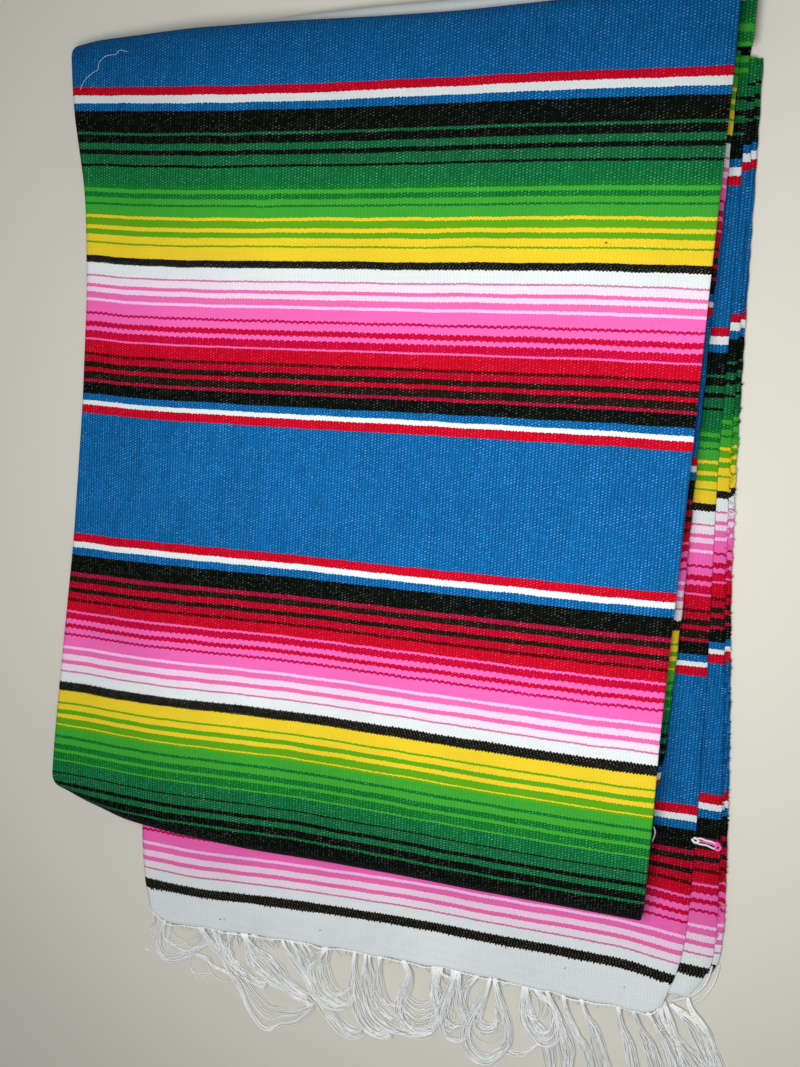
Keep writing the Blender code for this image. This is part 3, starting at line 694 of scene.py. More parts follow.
def top_grid(depth):
    """One face of the top panel, `depth` inside its outer face. Across it the
    columns go half round the side fold and over the flat to the right edge."""
    kind, at = TOP_PATH[:, :1], TOP_PATH[:, 1:]
    left = settle(partial(side, "top_left"), TOP_PATH) + SIDE_R
    under = np.select([kind == 3, kind == 4], [at, 1.0], 0.0)
    right = settle(partial(side, "top_right"), TOP_PATH)
    right = right + under * (settle(turned_edge, TOP_PATH) - 1 - right)
    turns = np.radians(np.linspace(180, 0, 13))
    share = np.linspace(0, 1, 92)[1:]
    r = SIDE_R - depth
    x = np.concatenate([left - r * np.sin(turns), left + (right - left) * share], axis=1)
    depths = np.full(x.shape[1], float(depth))
    depths[:len(turns)] += r * (1 - np.cos(turns))
    y, z, normal_y, normal_z, unrolled = on_path(TOP_PATH, x)
    stripe = top_stripes(x, unrolled)
    raised = KNOT_RISE * np.exp(-((np.abs(stripe) - TO_BLACK) / 2.0) ** 2)
    lift = swell(x, y) * smooth_step(x, -236.0, -190.0) + raised - droop(y)
    z = z + lift * np.clip(normal_z, 0, 1)
    points = stacked(x, y - normal_y * depths, z - normal_z * depths)
    across = x.copy()
    across[:, :len(turns)] = left - SIDE_R * turns
    # Painted shade: the top is drawn darker towards the back edge, standing in
    # for the light falling off there.
    painted_light_level = 1 - 0.11 * smooth_step(y, 200.0, 250.0) - 0.22 * smooth_step(y, 250.0, 285.0)
    return points, stacked(across, unrolled, stripe, painted_light_level)


# --- the turned panel --------------------------------------------------------
TURNED_LINES = (-139.0, -41.0, 57.0, 135.0, 230.0)
TURNED_PLACES = (-TO_GREEN_END, -TO_BLACK, -FIELD_HALF, FIELD_HALF, TO_BLACK)


def turned_grid(depth):
    """The turned panel's right margin, folded round like a U on its side."""
    at_right = side("top_right", 0.0)
    start = cross("front_fold", at_right) + front_radius(at_right) + 1.5
    y = even(start, LOWER_BACK, ROW_STEP)[:, None]
    right = turned_edge(y) + 0.22 * np.sin(y / 3.1 + 1.3 * np.sin(y / 11.0))
    radius = (TURNED_TOP - TURNED_LOW) / 2
    turns = np.radians(np.linspace(90, -90, 15))
    r = radius - depth
    top_in = side("top_right", y) - np.linspace(7, 2, 3)
    under = right - np.linspace(5, 8, 3)
    x = np.concatenate([top_in, right - radius + r * np.cos(turns), under], axis=1)
    up = np.concatenate([np.full(3, r), r * np.sin(turns), np.full(3, -r)])
    across = np.concatenate([np.linspace(-5, -1, 3), radius * (np.pi / 2 - turns),
                             np.pi * radius + np.linspace(1, 5, 3)])
    stripe = stripe_at(y, TURNED_LINES, TURNED_PLACES)
    # 0.92 is the painted shade level of the turned panel.
    return stacked(x, y, (TURNED_TOP + TURNED_LOW) / 2 + up), stacked(across, y, stripe, 0.92)


# --- the plies of the fringed end --------------------------------------------
END_STATIONS = np.concatenate([np.linspace(0, 0.12, 40)[:-1],
                               np.linspace(0.12, 1, 150)])[:, None]
END_Y = HEM_Y + (LOWER_BACK - HEM_Y) * END_STATIONS

# Where known stripes cross the lower panel.
lower_line = table(
    "x hem_black",
    (-175.0, -262.9), (-132.0, -264.1), (-95.0, -261.1), (-60.0, -259.1), (-25.0, -257.7),
    (10.0, -256.5), (43.0, -256.5), (75.0, -257.3), (107.0, -256.5), (138.0, -256.9),
    (158.0, -257.4), (185.0, -262.8))
END_LINES = (-150.0, -71.3, 28.0, 130.0, 208.0)
END_PLACES = (-FIELD_HALF, FIELD_HALF, TO_BLACK, TO_GREEN_END, REPEAT + FIELD_HALF)
# Painted shade: how much darker the plies beside the stack are drawn, in its shadow.
PAINTED_STACK_SHADE = 0.09           # how much less bright the plies are beside the stack
HEM_PLAIN_FROM = 3.6    # so far past the black stripe's middle the white hem starts,
HEM_PLAIN_READS = 4.4   # and it reads this much of the chart,
HEM_END = 30.0          # up to so far past it


def end_stripes(x, y, rise=0.0):
    """Place in the stripes at the fringed end. Past the middle of the black hem
    stripe the chart is read backwards, slowly, to stay in its white."""
    black = lower_line("hem_black", x) + rise
    start = HEM_PLAIN_FROM
    lines = [black - HEM_END, black - start, black] + [line + rise for line in END_LINES]
    places = (-TO_BLACK + start + HEM_PLAIN_READS, -TO_BLACK + start, -TO_BLACK) + END_PLACES
    return stripe_at(np.maximum(y, black - HEM_END), lines, places)


def across_and_up(x, z, hem_inset):
    """Points at the end stations, from their X and Z."""
    hem = hem_line(x) + hem_inset
    y = hem + (LOWER_BACK - hem) * END_STATIONS
    return stacked(x, y, z)


def lower_grid(depth):
    """The lower panel: its top ply, half round the fold on its left, and the
    ply under all the others, which rests on the surface."""
    left = lower("lower_left", END_Y) + LOWER_SIDE_R
    right = lower("lower_right", END_Y)
    share = np.linspace(1, 0, 80)[:-1]
    turns = np.radians(np.linspace(90, 270, 14))
    r = LOWER_SIDE_R - depth
    x = np.concatenate([left + (right - left) * share, left + r * np.cos(turns),
                        left + (right - 4 - left) * share[::-1]], axis=1)
    z = np.concatenate([np.full(len(share), r), r * np.sin(turns), np.full(len(share), -r)])
    points = across_and_up(x, LOWER_SIDE_R + z, 0)
    top = len(share)
    lift = 0.25 * swell(points[:, :top, 0], points[:, :top, 1], 0.7)
    points[:, :top, 2] += lift * smooth_step(points[:, :top, 0], -178.0, -150.0)
    across = x.copy()
    across[:, top:top + len(turns)] = left - LOWER_SIDE_R * (turns - np.pi / 2)
    across[:, top + len(turns):] = 2 * left - x[:, top + len(turns):] - np.pi * LOWER_SIDE_R
    y = points[..., 1]
    # Painted shade: the lower panel a little darker overall, and darker still beside the stack,
    # where its shadow falls.
    painted_light_level = 0.95 - PAINTED_STACK_SHADE * smooth_step(x, 150.0, 164.0) * smooth_step(y, -222.0, -190.0)
    return points, stacked(across, y, end_stripes(x, y), painted_light_level)


def end_layer_grid(edge, low, hem_inset, depth):
    """A flat ply between the lower panel's two plies, with a wavy right edge."""
    left = lower("lower_left", END_Y) + LOWER_SIDE_R + 2
    right = lower(edge, END_Y) + 0.22 * np.sin(END_Y / 2.6 + 1.4 * np.sin(END_Y / 9.0))
    x = left + (right - left) * np.linspace(0, 1, 60)
    points = across_and_up(x, low + PLY - depth, hem_inset)
    y = points[..., 1]
    # Painted shade: this ply darker overall, and darker still beside the stack.
    painted_light_level = 0.93 - PAINTED_STACK_SHADE * smooth_step(y, -250.0, -200.0)
    return points, stacked(x, y, end_stripes(x, y, hem_inset), painted_light_level)


# --- the fold behind the top panel -------------------------------------------
def back_fold_grid(depth):
    """Half round a fold whose height shrinks where the stack has sunk, with a
    flat ply at its top and one at its bottom that rests on the surface."""
    x = even(BACK_FOLD_LEFT, BACK_FOLD_RIGHT, 3.0)
    radius = (BACK_FOLD_Z - sag(x)) / 2
    centre = cross("hidden_fold", x) - radius
    turns = np.radians(np.linspace(90, -90, 26))[:, None]
    r = radius - depth
    flat = np.linspace(0, 1, 8)[:-1, None]
    run = BACK_FOLD_START + (centre - BACK_FOLD_START) * flat
    y = np.concatenate([run, centre + r * np.cos(turns), run[::-1]])
    z = np.concatenate([radius + r + 0 * run, radius + r * np.sin(turns), radius - r + 0 * run])
    path = np.concatenate([run, centre + radius * (np.pi / 2 - turns),
                           centre + np.pi * radius + (centre - run[::-1])])
    # 0.75 below is the painted shade level of the back fold, drawn darker below the top panel's
    # back edge.
    # Counted from the fold's crest, which is in the greens.
    marks = stacked(x, path, TO_BLACK + 52.0 + 0.6 * (path - centre), 0.75)
    return stacked(x, y, z), marks


HEM_LEFT, HEM_RIGHT = -118.0, 172.0     # the tucked hem's ends
HEM_THICK, HEM_SHOWS = 1.15, 1.9        # its thickness; the fold shows this far past it
HEM_GAP = 0.05                          # and it lies this far above the fold


def tucked_hem_grid(rise):
    """The blanket's other hem, tucked between the top panel and the back fold:
    flat from under the top panel, then bent over the fold's crest, `rise`
    above it."""
    x = even(HEM_LEFT, HEM_RIGHT, 2.0)
    radius = (BACK_FOLD_Z - sag(x)) / 2
    crest = cross("hidden_fold", x)
    centre = crest - radius
    last = np.arccos(1 - (HEM_SHOWS + 0.25 * np.sin(x / 1.9)) / radius)
    turns = np.pi / 2 + (last - np.pi / 2) * np.linspace(0, 1, 12)[:, None]
    start = np.minimum(cross("back_edge", x) - 4.5, centre - 1.0)
    run = start + (centre - start) * np.linspace(0, 1, 7)[:-1, None]
    r = radius + rise
    y = np.concatenate([run, centre + r * np.cos(turns)])
    z = np.concatenate([radius + r + 0 * run, radius + r * np.sin(turns)])
    path = np.concatenate([run, centre + radius * (np.pi / 2 - turns)])
    # 0.85 is the painted shade level of the tucked hem.
    return stacked(x, y, z), stacked(x, path, TO_BLACK - 5.4, 0.85)


# --- the plies inside --------------------------------------------------------
RIBBON_WIDE = 26.0      # how far an inner ply is made in from its edge
# Each inner ply's edge: inset from the top panel's right edge, wave, its start.
INNER_PLIES = ((1.4, 0.5, 0.3), (2.6, 0.7, 2.0), (1.1, 0.6, 4.1))
RIBBON = RIBBON_WIDE * np.array([1, 0.7, 0.4, 0.2, 0.1, 0.04, 0])
TUCK_END = -150.0       # Y where the tucked end of the blanket stops
TUCK_START = cross("back_edge", 150.0) - BACK_R         # and where it has turned down


def inner_ply_grid(number, depth):
    """An inner ply's right margin along the zigzag: from the tucked end, round
    the back fold, over the top and round the front fold."""
    inset, wave, start = INNER_PLIES[number]
    inner = PITCH * (number + 1) + depth
    tuck = TUCK_START - TUCK_END
    path = fold_path((np.linspace(0, 1, 180)[:-1], np.linspace(0, 1, 14),
                      np.linspace(0, 1, 200)[1:-1], np.linspace(0, 1, 20),
                      np.linspace(0, 0.04, 8)[1:]))

    edge = settle(partial(side, "top_right"), path, inner, tuck) - inset
    unrolled = on_path(path, edge, inner, tuck)[4]
    edge = edge + wave * np.sin(unrolled / 17 + start) + 0.3 * np.sin(unrolled / 2.4 + start)
    x = edge - RIBBON
    y, z, _, _, unrolled = on_path(path, x, inner, tuck)
    # 0.85 is the painted shade level of the inner plies.
    marks = stacked(x, unrolled, top_stripes(x, unrolled) + 2.0 * number, 0.85)
    return stacked(x, y, z), marks


def tucked_end_grid(depth):
    """The right margin of the ply that runs on from the top panel's tuck."""
    y = even(TUCK_START - TUCK - 1.0, TUCK_END, ROW_STEP)[:, None]
    edge = side("top_right", y) - 1.8 + 0.6 * np.sin(y / 15) + 0.3 * np.sin(y / 2.2)
    x = edge - RIBBON
    z = STACK_TOP - 2 * BACK_R + depth
    unrolled = 2 * TUCK_START + np.pi * BACK_R - y
    # 0.85 is the painted shade level of the tucked end.
    marks = stacked(x, unrolled, top_stripes(x, unrolled), 0.85)
    return stacked(x, y, z), marks


# Each lengthwise fold at the left: its levels, how far out it is, and its wave.
LEFT_FOLDS = ((0.27, 0.49, 1.0, 0.7), (0.50, 0.73, 0.6, 0.9))
LEFT_THIN = 0.8         # their ply's thickness as a share of the others'
LEFT_START, LEFT_END, LEFT_STEP = -185.0, 262.0, 2.2    # their Y and their rows
LEFT_IN = 8.0           # how far in their flat parts reach


def left_fold_grid(low, high, out, wave, depth):
    """A lengthwise fold between the top panel's two left curls, from one level
    to another as shares of the stack's height there."""
    y = even(LEFT_START, LEFT_END, LEFT_STEP)[:, None]
    left = side("top_left", y)
    base = STACK_LOW - sink(left)
    tall = STACK_TOP - sag(left) - base
    radius = tall * (high - low) / 2
    middle = base + tall * (high + low) / 2
    turns = np.radians(np.linspace(90, 270, 14))
    r = radius - depth
    crown = left + out + radius + wave * np.sin(y / 23 + 9 * low) + 0.5 * np.sin(y / 9 + 5 * low)
    flat = crown + LEFT_IN
    x = np.concatenate([flat, crown + r * np.cos(turns), flat], axis=1)
    z = np.concatenate([middle + r, middle + r * np.sin(turns), middle - r], axis=1)
    across = np.concatenate([left * 0 + LEFT_IN, -radius * (turns - np.pi / 2),
                             -np.pi * radius - LEFT_IN], axis=1)
    # 0.9 is the painted shade level of the left folds.
    return stacked(x, y, z), stacked(across, y, top_stripes(x, y) + 3.0, 0.9)


# --- yarns -------------------------------------------------------------------
def smooth_curve(knots, count):
    """Evenly sampled Catmull-Rom curve through the knots."""
    knots = np.asarray(knots, float)
    padded = np.concatenate([[2 * knots[0] - knots[1]], knots, [2 * knots[-1] - knots[-2]]])
    at = np.linspace(0, len(knots) - 1, count)
    k = np.minimum(at.astype(int), len(knots) - 2)
    t = (at - k)[:, None]
    p0, p1, p2, p3 = (padded[k + j] for j in range(4))
    return 0.5 * (2 * p1 + (p2 - p0) * t + (2 * p0 - 5 * p1 + 4 * p2 - p3) * t ** 2
                  + (3 * p1 - p0 - 3 * p2 + p3) * t ** 3)


def tubes(paths, radius, sides):
    """Round tubes along many paths at once: a ring of points square to each
    path's heading, closed at both ends. Points, faces, and how far round and
    along it each point is."""
    many, long, _ = paths.shape
    heading = np.gradient(paths, axis=1)
    heading /= np.linalg.norm(heading, axis=2, keepdims=True) + 1e-9
    level = np.cross(heading, np.array([0, 0, 1.0]))
    level /= np.linalg.norm(level, axis=2, keepdims=True) + 1e-9
    upright = np.cross(level, heading)
    turns = 2 * np.pi * np.arange(sides) / sides
    taper = np.ones(long)
    taper[[0, -1]] = 0.35
    wide = np.asarray(radius) * taper[None, :, None, None]
    ring = (np.cos(turns)[None, None, :, None] * level[:, :, None]
            + np.sin(turns)[None, None, :, None] * upright[:, :, None])
    points = (paths[:, :, None] + wide * ring).reshape(-1, 3)
    index = np.arange(many * long * sides).reshape(many, long, sides)
    around = np.concatenate([index, index[:, :, :1]], axis=2)
    faces = np.stack([around[:, :-1, :-1], around[:, :-1, 1:],
                      around[:, 1:, 1:], around[:, 1:, :-1]], axis=-1).reshape(-1, 4)
    step = np.linalg.norm(np.diff(paths, axis=1), axis=2)
    run = np.concatenate([np.zeros((many, 1)), np.cumsum(step, axis=1)], axis=1)
    marks = stacked(turns / (2 * np.pi * MM), run[:, :, None])
    all_faces = faces.tolist() + index[:, 0, ::-1].tolist() + index[:, -1].tolist()
    return points, all_faces, marks.reshape(-1, 2)


def yarn_piece(name, paths, radius, sides, material=WHITE_YARN, stripe=None):
    """Tubes in one piece. `stripe` gives each one's place in the stripes, if it
    has the cloth's colours."""
    points, faces, marks = tubes(paths, radius, sides)
    if stripe is not None:
        own = np.repeat(stripe, len(points) // len(paths))
        marks = np.column_stack([marks, own, np.ones(len(own))])
    return make_piece(name, points, faces, material, marks)


# Bundles of the hem's fringe, each: yarns, half width where it is widest,
# height above the surface, then X and Y of each point that its middle follows.
HEM_BUNDLES = (
    (12, 2.2, 2.0, -158, -293, -164, -302, -166, -311, -163, -318, -156, -320, -146, -316,
     -138, -311, -132, -304, -129, -298, -131, -292, -135, -290),
    (8, 1.6, 2.8, -154, -294, -158, -302, -158, -308, -153, -312, -145, -313, -135, -308,
     -128, -303),
    (16, 2.0, 3.0, -131, -291, -129, -296, -125, -303, -118, -308, -113, -316, -108, -323,
     -102, -331, -98, -340, -92, -349, -85, -356, -78, -356, -71, -350, -62, -347, -55, -341,
     -49, -334, -50, -329),
    (8, 2.0, 2.2, -137, -312, -129, -314, -123, -319, -115, -321, -108, -324, -102, -331),
    (16, 2.6, 3.6, -125, -293, -119, -298, -113, -307, -108, -313, -100, -318, -92, -322,
     -83, -325),
    (7, 1.4, 4.2, -111, -294, -112, -301, -111, -308, -104, -314, -97, -318),
    (5, 1.2, 3.6, -119, -294, -116, -300, -108, -307),
    (16, 3.2, 3.0, -98, -296, -96, -307, -91, -313, -81, -319, -71, -323, -62, -326, -53, -329,
     -49, -333),
    (16, 3.0, 4.0, -102, -292, -92, -299, -84, -303, -76, -309, -70, -316, -61, -322, -51, -325),
    (16, 2.2, 3.2, -73, -291, -67, -299, -61, -306, -54, -313, -49, -322, -44, -329, -39, -335,
     -32, -342, -26, -347, -19, -348, -13, -344, -12, -339),
    (8, 1.6, 4.0, -67, -289, -61, -296, -56, -305, -52, -313, -49, -322),
    (5, 1.2, 3.0, -60, -286, -55, -295, -53, -306),
    (16, 3.0, 2.6, -39, -289, -47, -296, -52, -304, -52, -314, -48, -323, -40, -327, -32, -328,
     -24, -325, -20, -318),
    (9, 2.2, 3.6, -40, -292, -44, -300, -44, -310, -40, -318, -34, -321, -27, -318, -22, -311),
    (14, 2.4, 3.0, -20, -288, -22, -299, -22, -311, -19, -323, -15, -334, -8, -340, 0, -342,
     8, -340),
    (14, 3.0, 3.8, -13, -290, -15, -300, -14, -312, -10, -322, -4, -330, 5, -335, 15, -336,
     26, -335, 36, -330),
    (8, 1.8, 2.4, -10, -292, -8, -302, -9, -313, -6, -322, 0, -327, 8, -331),
    (6, 1.4, 3.0, -3, -289, -4, -299, -2, -309, 2, -317, 10, -319),
    (20, 3.0, 3.6, 12, -288, 17, -294, 16, -303, 12, -314, 12, -323, 16, -330, 24, -334, 33, -330,
     38, -322, 35, -313, 33, -302, 36, -288),
    (12, 2.0, 2.4, 34, -288, 33, -298, 36, -308, 37, -318, 36, -325, 31, -331, 24, -336),
    (9, 1.6, 2.6, 38, -288, 36, -296, 37, -305, 36, -313),
    (16, 2.6, 3.6, 49, -287, 45, -296, 42, -306, 39, -316, 40, -324, 43, -331, 49, -334, 55, -332,
     57, -326, 55, -318, 52, -310, 50, -298, 50, -289),
    (9, 2.0, 2.8, 46, -297, 43, -308, 41, -318, 43, -325, 48, -327, 53, -323),
    (5, 1.4, 4.0, 39, -289, 45, -292, 46, -302, 44, -311),
    (12, 2.2, 2.6, 64, -285, 58, -291, 54, -300, 53, -310, 55, -318, 57, -324),
    (20, 3.0, 4.0, 71, -287, 68, -298, 63, -308, 58, -319, 57, -328, 59, -336, 65, -342, 72, -343,
     78, -338, 84, -331, 85, -322, 83, -313, 79, -304, 76, -295, 73, -287),
    (10, 2.0, 2.6, 69, -301, 65, -312, 63, -319, 67, -324, 74, -322, 76, -315, 75, -307),
    (8, 1.8, 2.2, 76, -343, 84, -336, 93, -336, 100, -330, 105, -325),
    (20, 3.0, 3.4, 92, -287, 92, -299, 94, -310, 100, -318, 107, -322, 113, -319, 115, -312,
     114, -303, 109, -295, 103, -290, 97, -286),
    (14, 2.6, 2.6, 94, -289, 96, -300, 100, -310, 107, -317, 112, -327, 114, -339, 114, -347,
     114, -356),
    (18, 2.8, 3.6, 106, -287, 112, -297, 116, -306, 120, -315, 124, -325, 124, -335, 123, -345,
     121, -360),
    (16, 2.6, 2.8, 117, -289, 120, -300, 126, -310, 133, -319, 138, -328, 141, -340, 145, -357),
    (18, 2.8, 3.6, 128, -290, 133, -298, 138, -306, 141, -315, 145, -326, 150, -338, 152, -350,
     155, -361),
    (18, 2.8, 2.8, 151, -291, 154, -301, 159, -310, 162, -320, 166, -335, 168, -346, 170, -358),
    (16, 2.6, 3.6, 159, -292, 166, -300, 172, -308, 177, -318, 181, -331, 184, -343, 186, -354),
    (16, 2.8, 2.6, 168, -291, 176, -298, 182, -307, 187, -317, 191, -329, 194, -343, 198, -357),
    (2, 0.3, 2.0, -168, -294, -172, -299, -171, -304, -168, -307),
    (1, 0.1, 0.8, -177, -317, -172, -317, -166, -317),
    (2, 0.3, 1.6, -141, -314, -142, -320, -139, -326, -131, -327, -124, -325),
)
END_BUNDLES = (
    (18, 2.8, 2.6, 177, -290, 184, -299, 192, -307, 200, -315, 208, -324, 216, -334, 223, -345),
    (16, 2.6, 2.2, 182, -280, 190, -284, 198, -289, 205, -299, 209, -309, 212, -320, 216, -341),
    (14, 2.4, 1.8, 192, -273, 195, -281, 202, -290, 207, -302, 213, -313, 218, -326, 222, -338),
    (16, 3.0, 2.0, 178, -276, 184, -292, 191, -309, 198, -326, 204, -345),
)
YARN_R = 0.27
BUNDLE_STEPS = 28               # points on each yarn
MORE_YARNS, WIDER = 1.22, 1.15  # fullness of the bundles against their rows
STRAY = 0.36                    # share of a bundle's yarns that leave it
AT_HEM = 7.0                    # a point this near the hem is drawn on to it
AT_HEM_TO = 179.0               # up to this X
HEM_ROOT_Z, END_ROOT_Z = 7.2, 4.6       # height of the fringes' roots
SINKS_FROM, SINKS_OVER = -286.0, 16.0   # from this Y a yarn sinks over this length
CLOSED = 0.22                   # a bundle's width where it is tied, as a share
OPEN_PAST = -330.0              # a bundle that ends beyond this Y ends open


def to_hem(knots):
    """The knots, with an end drawn on to the hem where it comes near it."""
    knots = np.array(knots, float).reshape(-1, 2)
    for end in (0, -1):
        x, y = knots[end]
        if hem_line(x) - AT_HEM < y and x < AT_HEM_TO:
            knots[end, 1] = hem_line(x) + 1.0
        elif end == 0 and hem_line(x) - 2.5 * AT_HEM < y and x < AT_HEM_TO:
            knots = np.concatenate([[(x, hem_line(x) + 1.0)], knots])
    return knots


def bundle(random, yarns, wide, height, knots, root_z):
    """Paths of one bundle's yarns. Each winds about the bundle's middle line at
    a distance of its own, narrow at both ends, with a small wander. Strays are
    drawn towards the straight line between the ends and sag below it. From the
    hem all sink to their height on the surface."""
    middle = smooth_curve(to_hem(knots), BUNDLE_STEPS)
    t = np.linspace(0, 1, BUNDLE_STEPS)
    heading = np.gradient(middle, axis=0)
    heading /= np.linalg.norm(heading, axis=1)[:, None]
    aside = np.stack([-heading[:, 1], heading[:, 0]], axis=1)
    column = (yarns, 1)
    opening = np.clip(np.sin(np.pi * np.clip(t * 1.02, 0, 1)), 0, 1) ** 0.6
    if middle[-1, 1] < OPEN_PAST:
        opening = np.clip(t * 2.2, 0, 1) ** 0.8
    opening = CLOSED + (1 - CLOSED) * opening
    turn = random.uniform(0, 2 * np.pi, column)
    turn = turn + 2 * np.pi * t * random.uniform(0.1, 0.9, column)
    offset = wide * opening * random.uniform(0.3, 1.1, column) * np.cos(turn)
    for waves, high in ((2.6, 0.5), (6.3, 0.22)):
        start = random.uniform(0, 2 * np.pi, column)
        offset = offset + random.normal(0, high, column) * np.sin(waves * np.pi * t + start)
    xy = middle[None] + aside[None] * offset[..., None]
    chord = middle[0] + (middle[-1] - middle[0]) * t[:, None]
    sagging = np.stack([0 * t, -4 * t * (1 - t)], axis=1)
    chord = chord + sagging * random.uniform(2, 16, column)[..., None]
    stray = random.uniform(0, 1, column) < STRAY
    pull = stray * random.uniform(0.08, 0.6, column) * np.sin(np.pi * t) ** 0.7
    xy = xy + pull[..., None] * (chord - xy)
    loose = stray * random.normal(0, 1.6, column)
    loose = loose * np.sin(np.pi * t * random.uniform(0.5, 1.0, column))
    xy = xy + aside[None] * loose[..., None]
    away = np.clip((SINKS_FROM - xy[..., 1]) / SINKS_OVER, 0, 1)
    rest = height * random.uniform(0.3, 1.5, column) + 0.4
    z = root_z + (rest - root_z) * smooth_step(away, 0, 1)
    z = z + 0.4 * np.sin(3 * np.pi * t) * random.normal(0, 1, column) * away
    return np.concatenate([xy, np.maximum(z, 0.5)[..., None]], axis=-1)


def tufts(random, count, first, last, longest):
    """Short loose ends at the hem, in fours: paths that fan out and sink."""
    column = (4 * count, 1)
    t = np.linspace(0, 1, BUNDLE_STEPS)
    x = np.repeat(random.uniform(first, last, count), 4)[:, None]
    x = x + random.normal(0, 0.5, column)
    long = random.uniform(4, longest, column) * t
    lean = np.repeat(random.normal(0, 0.5, count), 4)[:, None]
    lean = lean + random.normal(0, 0.3, column)
    bend = random.normal(0, 1.2, column) * t ** 2
    sunk = 0.42 * long * t ** 0.3
    return stacked(x + lean * long + bend, hem_line(x) + 1.0 - long,
                   np.maximum(HEM_ROOT_Z - sunk, 0.8))


def fringes():
    random = np.random.RandomState(7)
    for name, node, bundles, root_z in (
            ("hem_yarns", "hem_fringe", HEM_BUNDLES, HEM_ROOT_Z),
            ("end_yarns", "end_fringe", END_BUNDLES, END_ROOT_Z)):
        paths = [bundle(random, math.ceil(yarns * MORE_YARNS), wide * WIDER, height, knots, root_z)
                 for yarns, wide, height, *knots in bundles]
        if node == "hem_fringe":
            paths += [tufts(random, 30, -150, 172, 10), tufts(random, 22, -128, -42, 17)]
        piece = yarn_piece(name, np.concatenate(paths), YARN_R, 4)
        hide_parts(node)


def twined(line, step, reach):
    """Two strands wound round a line, a turn each `step`: paths of a cord."""
    run = np.concatenate([[0], np.cumsum(np.linalg.norm(np.diff(line, axis=0), axis=1))])
    heading = np.gradient(line, axis=0)
    heading /= np.linalg.norm(heading, axis=1)[:, None]
    aside = np.stack([-heading[:, 1], heading[:, 0], 0 * run], axis=1)
    up = np.array([0, 0, 1.0])
    return [line + reach * (np.cos(turn)[:, None] * aside + np.sin(turn)[:, None] * up)
            for turn in (2 * np.pi * run / step, 2 * np.pi * run / step + np.pi)]


# Cords along the hems of the second and the third ply: height, then X and Y.
END_CORDS = (
    (5.4, ((204.0, -250.0), (203.6, -253.4), (200.5, -263.4), (193.4, -271.5), (183.5, -276.9))),
    (3.0, ((208.2, -250.0), (208.0, -253.1), (206.1, -262.2), (201.3, -272.0), (195.9, -277.5))),
)


HEM_CORD_X, HEM_CORD_Z = (-169, 178), 7.0       # the hem's cord, end to end
HEM_CORD, END_CORD = (5.2, 0.36), (4.0, 0.5)    # length of a turn, strand off middle
CORD_STEPS, STRAND_R = 560, 0.33


def hem_twining():
    """The cord that binds the hem, slightly loose of it, and those beside it."""
    x = np.linspace(*HEM_CORD_X, CORD_STEPS)
    line = np.stack([x, hem_line(x) - 2.3 - 0.6 * np.sin(x / 9) - 0.3 * np.sin(x / 3.7),
                     np.full_like(x, HEM_CORD_Z)], axis=1)
    paths = twined(line, *HEM_CORD)
    for z, knots in END_CORDS:
        knots = [(*knot, z) for knot in knots]
        paths += twined(smooth_curve(knots, CORD_STEPS), *END_CORD)
    piece = yarn_piece("hem_twining", np.array(paths), STRAND_R, 5)


# --- loose ends --------------------------------------------------------------
# Yarn, radius and path of each small loose end: (x, y, z).
LOOSE_ENDS = (
    ("white", 0.80, ((184.9, -170.2, 9.6), (186.1, -171.7, 10.0), (188.0, -172.6, 9.4),
                     (189.0, -171.0, 9.2), (187.4, -169.7, 9.8), (185.7, -169.7, 9.8))),
    ("white", 0.62, ((187.7, -169.9, 9.2), (190.4, -170.0, 8.0), (193.3, -170.9, 7.6),
                     (196.8, -171.3, 7.4), (199.9, -172.7, 6.6))),
    ("white", 0.62, ((188.3, -173.0, 9.2), (191.3, -173.6, 8.0), (194.2, -173.9, 7.6),
                     (197.2, -175.0, 7.4), (199.6, -175.9, 6.6), (201.5, -177.1, 6.0))),
    ("pink", 0.60, ((188.7, -171.4, 9.0), (191.7, -171.8, 7.8), (194.6, -172.3, 7.5),
                     (197.6, -172.9, 7.2), (200.0, -173.9, 6.6))),
    ("pink", 0.9, ((198.6, -171.3, 7.4), (200.6, -172.1, 7.0), (202.0, -174.2, 6.6),
                     (201.1, -176.3, 6.6), (199.2, -175.2, 7.0), (199.6, -173.0, 7.6),
                     (201.0, -173.1, 7.4))),
    ("white", 0.50, ((162.4, -166.0, 10.4), (163.6, -169.0, 11.0), (163.2, -172.5, 10.6),
                     (162.4, -176.0, 10.0))),
    ("black", 0.30, ((79.2, -257.0, 9.3), (79.5, -259.2, 9.2), (79.3, -261.6, 9.1))),
    ("soot", 0.20, ((116.8, -267.6, 9.1), (117.3, -267.0, 9.3), (117.9, -266.7, 9.1))),
    ("black", 0.18, ((153.5, -272.4, 9.1), (154.0, -272.0, 9.3), (154.6, -272.1, 9.1))),
    ("black", 0.18, ((-45.2, -273.2, 9.1), (-44.5, -273.4, 9.3), (-43.8, -273.2, 9.1))),
    ("black", 0.20, ((-117.3, -279.2, 9.1), (-116.5, -279.4, 9.3), (-115.8, -279.1, 9.1))),
    ("black", 0.18, ((-113.9, -279.3, 9.1), (-113.4, -279.0, 9.2), (-112.9, -279.3, 9.1))),
    ("soot", 0.28, ((107.2, 170.4, 37.2), (107.8, 170.9, 37.6), (108.5, 170.6, 37.2))),
    ("white", 0.16, ((-100.0, -127.6, 37.2), (-99.3, -127.9, 37.5), (-98.7, -127.6, 37.2))),
    ("white", 0.18, ((88.8, 225.0, 37.2), (89.4, 225.3, 37.5), (90.0, 225.0, 37.2))),
)
